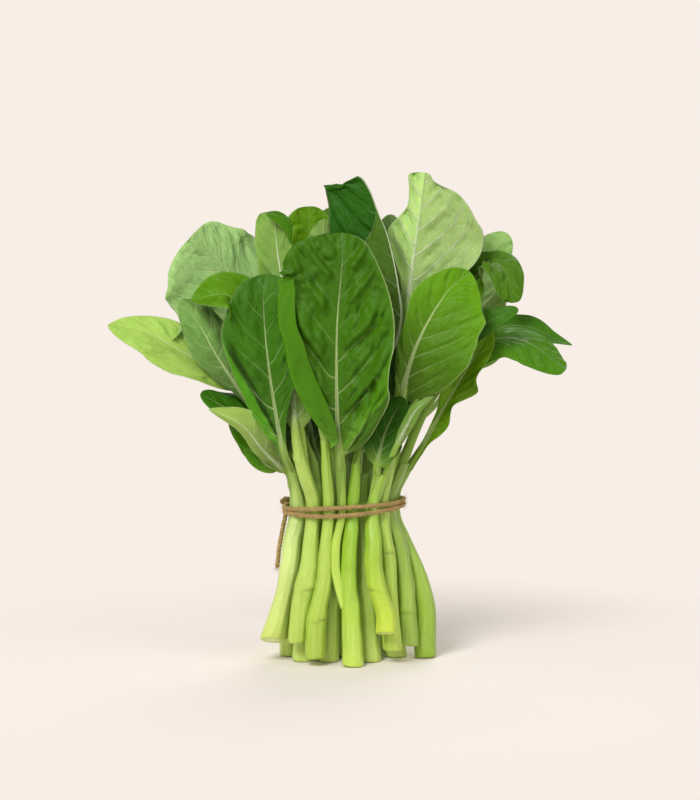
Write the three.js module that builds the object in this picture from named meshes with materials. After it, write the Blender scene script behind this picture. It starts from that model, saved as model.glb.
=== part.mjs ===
// A bunch of mustard greens, tied with jute twine and standing on its cut ends.
// Millimetres, +Z up. The origin is on the standing plane, under the middle of the bunch,
// and the side where the showiest leaves hang is towards -Y.
import * as THREE from "three";

// ---- Driving dimensions -------------------------------------------------------------------
const GAP = 0.35; // clearance that touching pieces keep
const TIE_HEIGHT = 92; // middle of the twine above the standing plane
const WAIST = { x: 34.4, y: 28.6 }; // half-axes of the oval that the twine draws the stalks into
const STALK_LEVELS = [0, 16, 32, 46, 60, 74, 86, 98, 110, 122, 136];
const SLANT = 1.03; // a slanting stalk is this much wider on a level section
const TIE_REACH = 7; // levels this near the middle of the twine lie inside its oval
const STALK_SIDES = 8;
const SETTLE_ROUNDS = 160; // sideways settling of the stalks against each other
const SMOOTH_ROUNDS = 90; // of these, how many also straighten the stalks
const TWINE_RADIUS = 1.6;
const TWINE_SIDES = 8;
const TWINE_PITCH = 4.2; // from one turn of the twine to the next
const TWINE_TURNS = 2;
const TWINE_STEPS = 36; // in each turn
const KNOT_ANGLE = 150; // where the twine is knotted, in degrees round the bunch from +X
const KNOT = { out: 3, along: 4.2, up: 3.6 }; // half-axes of the knot
const TAIL_RADIUS = 1.3;
// The loose end of the twine below the knot, down to its frayed end.
const TAIL_ROUTE = [[-36.2, 17.2, 83], [-37.6, 14.4, 76], [-39, 10.5, 69], [-40, 6.5, 62], [-40.7, 3.5, 54]];
const BLADE_THICKNESS = 1.0;
const TIP_RADIUS = 0.35; // what is left of the midrib at the tip
const CREASE_WIDTH = 0.14; // share of the half width over which a folded margin turns
const LATERAL_STEPS = 20;

const COLOURS = {
  stalk: 0xb4d464,
  upper: 0x4c8420,
  under: 0x8fb85a,
  twine: 0xa07c48,
};

// ---- The stalks ---------------------------------------------------------------------------
// Each stalk is a list of points [x, y, z] from its cut end up to its top, with its radius at
// the cut end and at the twine. Those in front are placed one by one, each with its own bends.
const FRONT_STALKS = [
  { points: [[-38, -7, 12], [-37, -8, 41], [-35, -6, 70], [-32, -6, 92], [-35, -7, 112]],
    radius: [4.4, 3.6] },
  { points: [[-43, -20, 10], [-39, -20, 30], [-33, -20, 57], [-30, -18, 76], [-27, -15, 92], [-31, -19, 114]],
    radius: [5, 4.1] },
  { points: [[-28, -28, 13], [-27, -28, 40], [-24, -26, 54], [-20, -25, 70], [-18, -22, 92], [-25, -28, 120],
    [-27, -29, 134]], radius: [5, 4.1] },
  { points: [[-18, -33, 4], [-16, -31, 30], [-12, -29, 54], [-9, -27, 92], [-11, -31, 134]],
    radius: [6.2, 3.7] },
  { points: [[-4, -34, 34], [-6, -31, 52], [-6, -31, 70], [-2, -28, 92], [-2, -32, 116]],
    radius: [1.9, 1.9] },
  { points: [[5, -35, 0], [4, -33, 30], [2, -31, 50], [3, -30, 70], [6, -27, 92], [8, -27, 120]],
    radius: [6, 4] },
  { points: [[24, -37, 18], [23, -37, 34], [17, -35, 52], [15, -32, 70], [17, -25, 92], [21, -28, 113]],
    radius: [6, 4.1] },
  { points: [[29, -25, 8], [28, -23, 40], [27, -20, 92], [30, -25, 128]], radius: [5.5, 4.1] },
  { points: [[39, -14, 8], [39, -12, 35], [37, -9, 70], [30, -7, 92], [36, -9, 118]], radius: [6.8, 4.8] },
  { points: [[51, -6, 0], [50, -6, 35], [44, -4, 58], [37, 0, 78], [31, 2, 92], [39, 1, 112]],
    radius: [6, 3.8] },
];
// Those behind fill the oval in four rows; each fans out towards its foot and its top by a share.
const ROWS_BEHIND = [
  { y: -13, x: [-18, -7, 11] },
  { y: -2, x: [-25, -13, 0, 11, 22] },
  { y: 10.5, x: [-24, -9, 5, 21] },
  { y: 23, x: [-8, 6] },
];
const BEHIND_RADIUS = [5.4, 4.7]; // at the cut end and at the twine
const FOOT_SPREAD = 1.42;
const TOP_SPREAD = 1.12;
const BEHIND_TOPS = [118, 124, 112, 121, 115]; // heights of the tops, taken in turn

// ---- The leaves ---------------------------------------------------------------------------
// stalk: number of the stalk that the leaf springs from; side: how far off its middle (x, y).
// path: points of the midrib after the stalk's top. face: where the upper surface looks.
// blade: share of the path that is petiole. half: half widths left and right of the midrib,
// seen on the upper surface with the tip up. widest: where along the blade. ends: how blunt the
// outline is at the base and at the tip (small is blunt). fold: how far the halves rise from
// flat at the base and at the tip, in degrees. curl: how far each margin bends up, in degrees.
// ruffle: height, waves and phase of the wavy margin. flap: a folded margin (side -1 is left,
// at and turn as share of the half width and degrees, span as shares of the blade).
const LEAVES = [
  { name: "leaf_front_centre", stalk: 5, petiole: 2.5,
    path: [[-4, -42, 152], [-4, -51, 201], [-1, -52, 240], [-1, -49, 257]], face: [0, -1, 0.1], blade: 0.16,
    half: [41, 33], widest: 0.6, ends: [0.7, 0.34], fold: [14, 2], curl: [6, 22], ruffle: [1.6, 2.5, 0.4],
    flap: { side: -1, at: 0.78, turn: 158, span: [0.12, 0.84] } },
  { name: "leaf_front_left", stalk: 2, petiole: 2.6,
    path: [[-37, -30, 133], [-44, -38, 178], [-47, -40, 216], [-45, -37, 233]], face: [-0.15, -1, 0.1],
    blade: 0.14, half: [29, 24], widest: 0.52, ends: [0.8, 0.4], fold: [22, 4], curl: [40, 12],
    ruffle: [1.5, 2, 1] },
  { name: "leaf_front_right", stalk: 8, petiole: 3,
    path: [[31, -25, 138], [36, -35, 170], [45, -41, 197], [60, -40, 222], [74, -34, 234]],
    face: [0.12, -1, 0.12], blade: 0.26, half: [13, 31], widest: 0.54, ends: [0.5, 0.42], fold: [10, 4],
    curl: [10, 14], ruffle: [1.5, 2.2, 2] },
  { name: "leaf_tall_right", stalk: 17, petiole: 3.4,
    path: [[27, -4, 134], [35, -2, 176], [39, 4, 217], [43, 6, 250], [49, 8, 293]], face: [0.1, 1, 0],
    blade: 0.5, half: [36, 15], widest: 0.45, ends: [0.6, 0.32], fold: [6, 4], curl: [-14, 8],
    ruffle: [1.8, 2.5, 0] },
  { name: "leaf_top_hood", stalk: 6, petiole: 3,
    path: [[18, -20, 159], [33, -16, 200], [32, -14, 226], [25, -12, 254], [14, -9, 291]],
    face: [-1, 0, 0.15], blade: 0.3, half: [39, 19], widest: 0.66, ends: [0.6, 0.2], fold: [62, 58],
    curl: [0, 6], ruffle: [1, 2, 0] },
  { name: "leaf_folded_left", stalk: 4, petiole: 2.8,
    path: [[-19, -24, 164], [-32, -12, 207], [-39, -6, 240], [-42, -4, 270]], face: [0.1, 1, 0.1],
    blade: 0.4, half: [25, 14], widest: 0.58, ends: [0.7, 0.16], fold: [8, 4], curl: [0, 10],
    ruffle: [1, 2, 1], flap: { side: -1, at: 0.4, turn: -150, span: [0.55, 1.1] } },
  { name: "leaf_inner_pale", stalk: 12, petiole: 2.8,
    path: [[-12, 0, 170], [-14, 12, 220], [-12, 15, 265]], face: [0, 1, 0.1], blade: 0.3, half: [12, 14],
    widest: 0.6, ends: [0.7, 0.5], fold: [10, 10], curl: [20, 20], ruffle: [1.5, 3, 0] },
  { name: "leaf_inner_round", stalk: 20, petiole: 3,
    path: [[-16, 22, 181], [-20, 31, 233], [-22, 33, 273]], face: [0, -1, 0.2], blade: 0.35, half: [22, 20],
    widest: 0.6, ends: [0.7, 0.4], fold: [10, 8], curl: [16, 16], ruffle: [2, 3, 0] },
  { name: "leaf_big_left", stalk: 15, petiole: 3.4,
    path: [[-40, 10, 182], [-60, 11, 220], [-76, 7, 240], [-90, 2, 257]], face: [0.1, -0.8, 0.6], blade: 0.5,
    half: [50, 31], widest: 0.46, ends: [0.4, 0.34], fold: [8, 4], curl: [-14, -12], ruffle: [2.5, 2.5, 1] },
  { name: "leaf_bright_left", stalk: 11, petiole: 2.4, side: [2, -1.8],
    path: [[-38, -20, 169], [-54, -25, 202], [-68, -29, 220], [-90, -33, 217]], face: [0.1, -0.7, 0.7],
    blade: 0.4, half: [19, 19], widest: 0.5, ends: [0.7, 0.7], fold: [18, 18], curl: [10, 10],
    ruffle: [1, 2, 1] },
  { name: "leaf_far_left", stalk: 14, petiole: 2.6, side: [-1, 2.8],
    path: [[-50, -10, 149], [-80, -15, 175], [-103, -18, 190], [-118, -19, 198], [-140, -22, 202]],
    face: [0, -0.75, 0.65], blade: 0.4, half: [18, 14], widest: 0.58, ends: [0.6, 0.7], fold: [14, 6],
    curl: [-10, -10], ruffle: [1.2, 2, 0] },
  { name: "leaf_blue_left", stalk: 14, petiole: 2.4, side: [-1.4, -2.7],
    path: [[-44, -12, 137], [-62, -20, 163], [-76, -23, 185], [-85, -22, 201], [-97, -18, 217]],
    face: [-0.3, -0.8, 0.5], blade: 0.3, half: [14, 15], widest: 0.6, ends: [0.8, 0.6], fold: [6, 4],
    curl: [2, 2], ruffle: [1, 2, 0] },
  { name: "leaf_low_left", stalk: 11, petiole: 2, side: [-2.2, 1.4],
    path: [[-38, -14, 128], [-50, -20, 138], [-66, -24, 150], [-85, -27, 162]], face: [0, -0.5, 0.85],
    blade: 0.35, half: [11, 11], widest: 0.6, ends: [0.8, 0.5], fold: [10, 0], curl: [-20, -20],
    ruffle: [2, 2, 0] },
  { name: "leaf_under_left", stalk: 1, petiole: 2.4, side: [0, -1.6],
    path: [[-47, -23, 127], [-60, -36, 144], [-79, -43, 154]], face: [0.1, 0.9, 0.4], blade: 0.2,
    half: [10, 9], widest: 0.6, ends: [0.7, 0.6], fold: [12, 4], curl: [10, 10], ruffle: [1.2, 2, 0] },
  { name: "leaf_droop_left", stalk: 1, petiole: 1.4, side: [-1.4, 2.7],
    path: [[-47, -11, 118], [-56, -14, 131], [-69, -15, 146]], face: [-0.2, -0.8, 0.4], blade: 0.15,
    half: [4, 6], widest: 0.5, ends: [0.7, 0.7], fold: [8, 4], curl: [10, 10], ruffle: [1, 2, 0] },
  { name: "leaf_clasping", stalk: 3, petiole: 3.2,
    path: [[-29, -31, 148], [-30, -31, 176], [-31, -27, 203]], face: [0.3, 0.9, 0], blade: 0.1,
    half: [8, 8], widest: 0.5, ends: [0.6, 0.6], fold: [24, 8], curl: [24, 24], ruffle: [1, 2, 0] },
  { name: "leaf_dark_right", stalk: 7, petiole: 2.5, side: [-2.4, -0.6],
    path: [[20, -33, 122], [25, -36, 141], [35, -40, 161]], face: [-0.3, -0.9, 0.2],
    blade: 0.3, half: [8, 9], widest: 0.5, ends: [0.6, 0.6], fold: [10, 4], curl: [-20, 10],
    ruffle: [1, 2, 0] },
  { name: "leaf_narrow_right", stalk: 7, petiole: 2.2, side: [2.6, 0.2],
    path: [[30, -41, 130], [38, -49, 147], [43, -50, 155], [52, -51, 162]], face: [0.4, 0.9, 0.3],
    blade: 0.4, half: [4, 6], widest: 0.5, ends: [0.7, 0.7], fold: [20, 10], curl: [10, 10],
    ruffle: [0.6, 2, 0] },
  { name: "leaf_low_right", stalk: 10, petiole: 2.8,
    path: [[48, -8, 130], [57, -13, 147], [66, -15, 163], [77, -15, 181], [88, -14, 199]],
    face: [-0.3, -0.9, 0.3], blade: 0.15, half: [9, 12], widest: 0.7, ends: [1.3, 0.5], fold: [20, 10],
    curl: [20, -20], ruffle: [2, 3, 0] },
  { name: "leaf_blue_right", stalk: 22, petiole: 2.6, side: [-1.5, 2],
    path: [[50, 24, 181], [72, 30, 216], [87, 32, 239], [101, 32, 256]], face: [0.2, 1, 0.2], blade: 0.5,
    half: [13, 12], widest: 0.6, ends: [0.7, 0.5], fold: [14, 8], curl: [10, 10], ruffle: [1.5, 2, 0] },
  { name: "leaf_hooked_right", stalk: 18, petiole: 2.6, side: [-1, 1.5],
    path: [[44, 2, 165], [66, 12, 206], [79, 14, 228], [90, 9, 238], [98, 0, 232], [101, -7, 215]],
    face: [-0.5, 0.5, 0.7], faceTip: [0.3, -0.6, 0.6], blade: 0.45, half: [12, 16], widest: 0.55,
    ends: [0.7, 0.3], fold: [16, 0], curl: [10, 10], ruffle: [1.5, 2, 0] },
  { name: "leaf_small_right", stalk: 13, petiole: 2, side: [0, 2.8],
    path: [[38, -12, 150], [60, -20, 182], [84, -26, 203], [103, -27, 212]], face: [0, -0.8, 0.5],
    blade: 0.5, half: [9, 8], widest: 0.5, ends: [0.6, 0.5], fold: [14, 8], curl: [10, 10],
    ruffle: [1, 2, 0] },
  { name: "leaf_thin_right", stalk: 22, petiole: 2.2, side: [2, -2.4],
    path: [[58, 14, 168], [88, 15, 196], [110, 11, 200], [125, 8, 194], [138, 5, 189]], face: [0, -0.6, 0.8],
    blade: 0.45, half: [9, 13], widest: 0.5, ends: [0.6, 0.9], fold: [14, 4], curl: [10, 10],
    ruffle: [1, 2, 0] },
  { name: "leaf_far_right", stalk: 9, petiole: 4,
    path: [[54, -5, 159], [84, -9, 190], [108, -12, 192], [132, -17, 175]], face: [0.1, -0.5, 0.85],
    blade: 0.4, half: [18, 9], widest: 0.58, ends: [0.6, 0.4], fold: [4, -10], curl: [-14, -30],
    ruffle: [1, 2, 0] },
  { name: "leaf_back_grey", stalk: 21, petiole: 2.8,
    path: [[14, 22, 171], [24, 30, 217], [29, 32, 268]], face: [0, -1, 0.2], blade: 0.08, half: [15, 15],
    widest: 0.6, ends: [0.5, 0.5], fold: [10, 4], curl: [10, 10], ruffle: [1, 2, 0] },
  { name: "leaf_rear_left", stalk: 23, petiole: 2.6, side: [-2.4, 0.6],
    path: [[-21, 32, 172], [-34, 50, 218], [-42, 56, 259]], face: [-0.2, 1, 0.1], blade: 0.06, half: [30, 28],
    widest: 0.58, ends: [0.5, 0.4], fold: [12, 4], curl: [10, 10], ruffle: [2, 2.5, 0] },
  { name: "leaf_rear_right", stalk: 24, petiole: 2.4, side: [-1.6, 2.4],
    path: [[15, 44, 167], [28, 62, 213], [36, 66, 254]], face: [0.1, 1, 0.1], blade: 0.06, half: [28, 30],
    widest: 0.58, ends: [0.5, 0.4], fold: [12, 4], curl: [10, 10], ruffle: [2, 2.5, 1] },
  { name: "leaf_rear_middle", stalk: 16, petiole: 3,
    path: [[-3, 34, 182], [-4, 50, 233], [-4, 54, 273]], face: [0, -1, 0.3], blade: 0.3, half: [24, 24],
    widest: 0.6, ends: [0.5, 0.4], fold: [12, 4], curl: [12, 12], ruffle: [2, 2.5, 2] },
  { name: "leaf_back_right", stalk: 24, petiole: 2.4, side: [3, 0],
    path: [[46, 30, 162], [74, 44, 203], [98, 48, 235]], face: [0.2, 0.8, 0.5], blade: 0.4, half: [20, 18],
    widest: 0.58, ends: [0.7, 0.5], fold: [12, 4], curl: [-10, -10], ruffle: [2, 2.5, 0] },
  { name: "leaf_back_left", stalk: 19, petiole: 2.6, side: [1, 2.2],
    path: [[-42, 26, 172], [-64, 40, 212], [-82, 46, 247]], face: [-0.3, 0.8, 0.3], blade: 0.4,
    half: [24, 22], widest: 0.58, ends: [0.7, 0.4], fold: [12, 4], curl: [-10, -10], ruffle: [2, 2.5, 1] },
  { name: "leaf_spread_right", stalk: 22, petiole: 2, side: [3.4, 2.2],
    path: [[52, 22, 147], [80, 36, 174], [108, 44, 190]], face: [0, 0.5, 0.87], blade: 0.35, half: [14, 14],
    widest: 0.58, ends: [0.7, 0.6], fold: [12, 4], curl: [-14, -14], ruffle: [1.5, 2.5, 0] },
  { name: "leaf_spread_left", stalk: 19, petiole: 2.2, side: [-2.4, -2],
    path: [[-50, 18, 147], [-78, 32, 174], [-106, 38, 192]], face: [0, 0.5, 0.87], blade: 0.35,
    half: [14, 15], widest: 0.58, ends: [0.7, 0.6], fold: [12, 4], curl: [-14, -14], ruffle: [1.5, 2.5, 1] },
  { name: "leaf_spread_back", stalk: 23, petiole: 2.2, side: [2.4, 2],
    path: [[10, 48, 143], [16, 70, 170], [20, 92, 186]], face: [0, -0.5, 0.87], blade: 0.3, half: [15, 16],
    widest: 0.58, ends: [0.7, 0.6], fold: [12, 4], curl: [-14, -14], ruffle: [1.5, 2.5, 2] },
];

// ---- Solids -------------------------------------------------------------------------------
const lerp = (a, b, t) => a + (b - a) * t;
const smooth = (a, b, t) => THREE.MathUtils.smoothstep(t, a, b);
const radians = (degrees) => (degrees * Math.PI) / 180;

// A closed solid from rings of points, each ring with as many points, joined ring to ring and
// shut with a fan at both ends. Seen from the first ring, the points run anticlockwise.
function solidOfRings(rings) {
  const count = rings[0].length;
  const positions = rings.flat().flatMap((p) => [p.x, p.y, p.z]);
  const faces = [];
  for (let i = 0; i + 1 < rings.length; i++)
    for (let k = 0; k < count; k++) {
      const next = (k + 1) % count;
      const [a, b, c, d] = [i * count + k, i * count + next, (i + 1) * count + next, (i + 1) * count + k];
      faces.push(a, b, c, a, c, d);
    }
  const last = (rings.length - 1) * count;
  for (let k = 1; k + 1 < count; k++) {
    faces.push(0, k + 1, k);
    faces.push(last, last + k, last + k + 1);
  }
  const geometry = new THREE.BufferGeometry();
  geometry.setAttribute("position", new THREE.Float32BufferAttribute(positions, 3));
  geometry.setIndex(faces);
  return geometry;
}

// The point of a polyline at height z, by straight lines between its points.
function pointAtHeight(points, z) {
  let i = 0;
  while (i + 2 < points.length && points[i + 1][2] < z) i++;
  const [a, b] = [points[i], points[i + 1]];
  const t = (z - a[2]) / (b[2] - a[2]);
  return [lerp(a[0], b[0], t), lerp(a[1], b[1], t)];
}

// All stalks as {foot, top, at: [[x, y] per level], radius: [per level]}.
function plannedStalks() {
  const planned = FRONT_STALKS.map((s) => ({ ...s }));
  let made = 0;
  for (const row of ROWS_BEHIND)
    for (const x of row.x) {
      const top = BEHIND_TOPS[made++ % BEHIND_TOPS.length];
      planned.push({
        points: [
          [x * FOOT_SPREAD, row.y * FOOT_SPREAD, 0],
          [x, row.y, TIE_HEIGHT],
          [x * TOP_SPREAD, row.y * TOP_SPREAD, top],
        ],
        radius: BEHIND_RADIUS,
      });
    }
  return planned.map(({ points, radius }) => ({
    foot: points[0][2],
    top: points[points.length - 1][2],
    planned: STALK_LEVELS.map((z) => pointAtHeight(points, z)),
    shift: STALK_LEVELS.map(() => [0, 0]),
    radius: STALK_LEVELS.map((z) => lerp(radius[0], radius[1], smooth(0, TIE_HEIGHT, z))),
  }));
}

// Where a stalk runs on a level: its planned place and what settling has shifted it by.
const placeOf = (stalk, level) => stalk.planned[level].map((c, axis) => c + stalk.shift[level][axis]);

// Settles the stalks: on each level, stalks that overlap push each other apart and those at the
// twine are drawn into its oval; at first each stalk also spreads its shift evenly along itself.
function settle(stalks) {
  for (let round = 0; round < SETTLE_ROUNDS; round++) {
    STALK_LEVELS.forEach((z, level) => {
      const places = stalks.map((s) => placeOf(s, level));
      const moves = stalks.map(() => [0, 0]);
      for (let i = 0; i < stalks.length; i++)
        for (let j = i + 1; j < stalks.length; j++) {
          const apart = [0, 1].map((axis) => places[j][axis] - places[i][axis]);
          const distance = Math.hypot(...apart) || 1e-6;
          const wanted = (stalks[i].radius[level] + stalks[j].radius[level]) * SLANT + GAP;
          if (distance >= wanted) continue;
          const push = (0.4 * (wanted - distance)) / distance;
          for (const axis of [0, 1]) {
            moves[i][axis] -= apart[axis] * push;
            moves[j][axis] += apart[axis] * push;
          }
        }
      stalks.forEach((s, i) => {
        s.shift[level] = s.shift[level].map((c, axis) => c + moves[i][axis]);
        if (Math.abs(z - TIE_HEIGHT) > TIE_REACH) return;
        const place = placeOf(s, level);
        const room = [WAIST.x - s.radius[level], WAIST.y - s.radius[level]];
        const out = Math.hypot(place[0] / room[0], place[1] / room[1]);
        if (out > 1) s.shift[level] = place.map((c, axis) => c / out - s.planned[level][axis]);
      });
    });
    if (round >= SMOOTH_ROUNDS) continue;
    for (const s of stalks)
      s.shift = s.shift.map((shift, level) => {
        const [before, after] = [s.shift[level - 1], s.shift[level + 1]];
        if (!before || !after) return shift;
        return shift.map((c, axis) => c + 0.08 * (before[axis] + after[axis] - 2 * c));
      });
  }
  for (const s of stalks) s.at = STALK_LEVELS.map((_, level) => placeOf(s, level));
  return stalks;
}

// The settled place and radius of a stalk at any height.
function stalkAt(stalk, z) {
  let i = 0;
  while (i + 2 < STALK_LEVELS.length && STALK_LEVELS[i + 1] < z) i++;
  const t = (z - STALK_LEVELS[i]) / (STALK_LEVELS[i + 1] - STALK_LEVELS[i]);
  const [a, b] = [stalk.at[i], stalk.at[i + 1]];
  return {
    x: lerp(a[0], b[0], t),
    y: lerp(a[1], b[1], t),
    radius: lerp(stalk.radius[i], stalk.radius[i + 1], t),
  };
}

function stalkGeometry(stalk) {
  const inside = STALK_LEVELS.filter((z) => z > stalk.foot + 4 && z < stalk.top - 4);
  const rings = [stalk.foot, ...inside, stalk.top].map((z) => {
    const { x, y, radius } = stalkAt(stalk, z);
    return Array.from({ length: STALK_SIDES }, (_, k) => {
      const angle = (k / STALK_SIDES) * 2 * Math.PI;
      return new THREE.Vector3(x + radius * Math.cos(angle), y + radius * Math.sin(angle), z);
    });
  });
  return solidOfRings(rings);
}

// The cross line of one half of a blade: it leaves the midrib at the fold angle, bends by the
// curl on its way out, and past the crease turns by the flap angle.
function lateral(leaf, u, side, reach) {
  const fold = lerp(leaf.fold[0], leaf.fold[1], u);
  const curl = leaf.curl[side < 0 ? 0 : 1];
  const flap = leaf.flap && leaf.flap.side === side ? leaf.flap : null;
  const [from, to] = flap ? flap.span : [0, 0];
  const span = smooth(from, from + 0.15, u) * (1 - smooth(to - 0.08, to, u));
  const line = [{ out: 0, up: 0, angle: radians(fold) }];
  for (let i = 0; i < LATERAL_STEPS; i++) {
    const q = (i + 0.5) / LATERAL_STEPS;
    const turned = flap ? flap.turn * span * smooth(flap.at, flap.at + CREASE_WIDTH, q) : 0;
    const angle = radians(fold + curl * q + turned);
    const last = line[i];
    line.push({
      out: last.out + (Math.cos(angle) * reach) / LATERAL_STEPS,
      up: last.up + (Math.sin(angle) * reach) / LATERAL_STEPS,
      angle,
    });
  }
  return line;
}

// Half width of the blade at share u of its length, as a share of its widest.
function outline(leaf, u) {
  const power = Math.log(0.5) / Math.log(leaf.widest);
  const [base, tip] = leaf.ends;
  return Math.sin(Math.PI * Math.min(u, 1) ** power) ** (u < leaf.widest ? base : tip) || 0;
}

// A leaf with its petiole: rings across the midrib, round in the petiole and thin in the blade,
// with the midrib standing out on the underside.
function leafGeometry(leaf, start) {
  const through = [start, ...leaf.path].map((p) => new THREE.Vector3(...p));
  const midrib = new THREE.CatmullRomCurve3(through, false, "catmullrom", 0.5);
  const face = new THREE.Vector3(...leaf.face).normalize();
  const faceTip = new THREE.Vector3(...(leaf.faceTip || leaf.face)).normalize();
  const shares = [0, leaf.blade * 0.5, leaf.blade];
  for (const u of [0.1, 0.24, 0.38, 0.52, 0.66, 0.8, 0.91, 0.97, 1]) shares.push(lerp(leaf.blade, 1, u));
  const margin = [0.34, 0.72, 1];
  const crossings = leaf.flap ? [0.4, leaf.flap.at, leaf.flap.at + CREASE_WIDTH, 1] : margin.slice(1);
  const rings = shares.map((share, station) => {
    const centre = midrib.getPointAt(share);
    const along = station ? midrib.getTangentAt(share) : new THREE.Vector3(0, 0, 1);
    const normal = face.clone().lerp(faceTip, share);
    normal.addScaledVector(along, -normal.dot(along)).normalize();
    const across = new THREE.Vector3().crossVectors(along, normal);
    const u = Math.max(0, (share - leaf.blade) / (1 - leaf.blade));
    const rib = lerp(leaf.petiole, TIP_RADIUS, smooth(-0.3, 1, u) ** 0.8);
    const inPetiole = 1 - smooth(leaf.blade, leaf.blade + 0.12, share);
    const point = (side, distance, reach, under) => {
      const q = distance / reach;
      const line = lateral(leaf, u, side, reach);
      const step = Math.min(LATERAL_STEPS, q * LATERAL_STEPS);
      const [a, b] = [line[Math.floor(step)], line[Math.min(LATERAL_STEPS, Math.floor(step) + 1)]];
      const t = step - Math.floor(step);
      const angle = lerp(a.angle, b.angle, t);
      const [height, waves, phase] = leaf.ruffle;
      const wave = height * q * q * Math.sin(Math.PI * u) * Math.sin(2 * Math.PI * waves * u + phase + side);
      const round = Math.sqrt(Math.max(0, 1 - (distance / rib) ** 2));
      const skin = (BLADE_THICKNESS / 2) * Math.sqrt(Math.max(0, 1 - q ** 4));
      const thick = under ? -(skin + rib * round) : skin + rib * round * lerp(0.1, 0.9, inPetiole);
      return centre
        .clone()
        .addScaledVector(across, side * (lerp(a.out, b.out, t) - Math.sin(angle) * thick))
        .addScaledVector(normal, lerp(a.up, b.up, t) + wave + Math.cos(angle) * thick);
    };
    const half = (side) => {
      const reach = rib + leaf.half[side < 0 ? 0 : 1] * outline(leaf, u);
      const spare = reach - rib;
      const distances = [rib * 0.7];
      for (const q of crossings) distances.push(rib * lerp(0.7, 1, q) + spare * q);
      return { side, reach, distances };
    };
    const ring = [];
    const [left, right] = [half(-1), half(1)];
    for (const d of [...left.distances].reverse()) ring.push(point(-1, d, left.reach, false));
    for (const d of right.distances) ring.push(point(1, d, right.reach, false));
    for (const d of right.distances.slice(0, -1).reverse()) ring.push(point(1, d, right.reach, true));
    for (const d of left.distances.slice(0, -1)) ring.push(point(-1, d, left.reach, true));
    return ring;
  });
  return solidOfRings(rings);
}

// A point of the oval that lies `out` beyond the waist, at an angle round the bunch.
function roundWaist(angle, out, z) {
  return new THREE.Vector3((WAIST.x + out) * Math.cos(angle), (WAIST.y + out) * Math.sin(angle), z);
}

// A cord of even thickness through points; `outward` is where the first corner of a ring looks.
function cordGeometry(points, radius, outward) {
  const rings = points.map((point, i) => {
    const [before, after] = [points[Math.max(i - 1, 0)], points[Math.min(i + 1, points.length - 1)]];
    const along = after.clone().sub(before).normalize();
    const first = outward(point);
    first.addScaledVector(along, -first.dot(along)).normalize();
    const second = new THREE.Vector3().crossVectors(along, first);
    return Array.from({ length: TWINE_SIDES }, (_, k) => {
      const angle = (k / TWINE_SIDES) * 2 * Math.PI;
      return point
        .clone()
        .addScaledVector(first, radius * Math.cos(angle))
        .addScaledVector(second, radius * Math.sin(angle));
    });
  });
  return solidOfRings(rings);
}

// ---- The bunch ----------------------------------------------------------------------------
const bunch = new THREE.Group();

function add(name, geometry, colour, roughness) {
  const material = new THREE.MeshStandardMaterial({ color: colour, roughness, metalness: 0 });
  const mesh = new THREE.Mesh(geometry, material);
  mesh.name = name;
  bunch.add(mesh);
}

const stalks = settle(plannedStalks());
stalks.forEach((stalk, i) => {
  add(`stalk_${String(i + 1).padStart(2, "0")}`, stalkGeometry(stalk), COLOURS.stalk, 0.45);
});

for (const leaf of LEAVES) {
  const stalk = stalks[leaf.stalk - 1];
  const { x, y } = stalkAt(stalk, stalk.top);
  const [dx, dy] = leaf.side || [0, 0];
  const geometry = leafGeometry(leaf, [x + dx, y + dy, stalk.top + GAP]);
  add(leaf.name, geometry, leaf.face[1] > 0 ? COLOURS.under : COLOURS.upper, 0.4);
}

const knotAngle = radians(KNOT_ANGLE);
const onStalks = GAP + TWINE_RADIUS;
const wrap = Array.from({ length: TWINE_TURNS * TWINE_STEPS + 1 }, (_, i) => {
  const turn = i / TWINE_STEPS;
  const z = TIE_HEIGHT + TWINE_PITCH * (TWINE_TURNS / 2 - turn);
  return roundWaist(knotAngle + turn * 2 * Math.PI, onStalks, z);
});
const fromAxis = (point) => new THREE.Vector3(point.x, point.y, 0);
add("twine_wrap", cordGeometry(wrap, TWINE_RADIUS, fromAxis), COLOURS.twine, 0.85);

const knotCentre = roundWaist(knotAngle, onStalks + TWINE_RADIUS + GAP + KNOT.out, TIE_HEIGHT);
const knot = new THREE.SphereGeometry(1, 12, 8).scale(KNOT.out, KNOT.along, KNOT.up);
knot.rotateZ(knotAngle).translate(knotCentre.x, knotCentre.y, knotCentre.z);
add("twine_knot", knot, COLOURS.twine, 0.85);

const tailTop = knotCentre.clone().setZ(TIE_HEIGHT - KNOT.up - GAP);
const tail = new THREE.CatmullRomCurve3([tailTop, ...TAIL_ROUTE.map((p) => new THREE.Vector3(...p))]);
add("twine_tail", cordGeometry(tail.getSpacedPoints(16), TAIL_RADIUS, fromAxis), COLOURS.twine, 0.85);

export default bunch;
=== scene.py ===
# %% [markdown]
# # A tied bunch of mustard greens
# Two dozen pale, juicy stalks are held together, and the longer ones stand on their cut ends.
# Jute twine draws them in at the waist, and above it the leaves fan out: broad, quilted blades
# on long leaf stalks. Everything here is grown or twisted, so nearly every shape is a surface
# carried along a bent line. The model's solids are loaded first; they say where each stalk,
# leaf and turn of twine is.

# %% The fixed frame
import math
from collections import namedtuple

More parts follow.
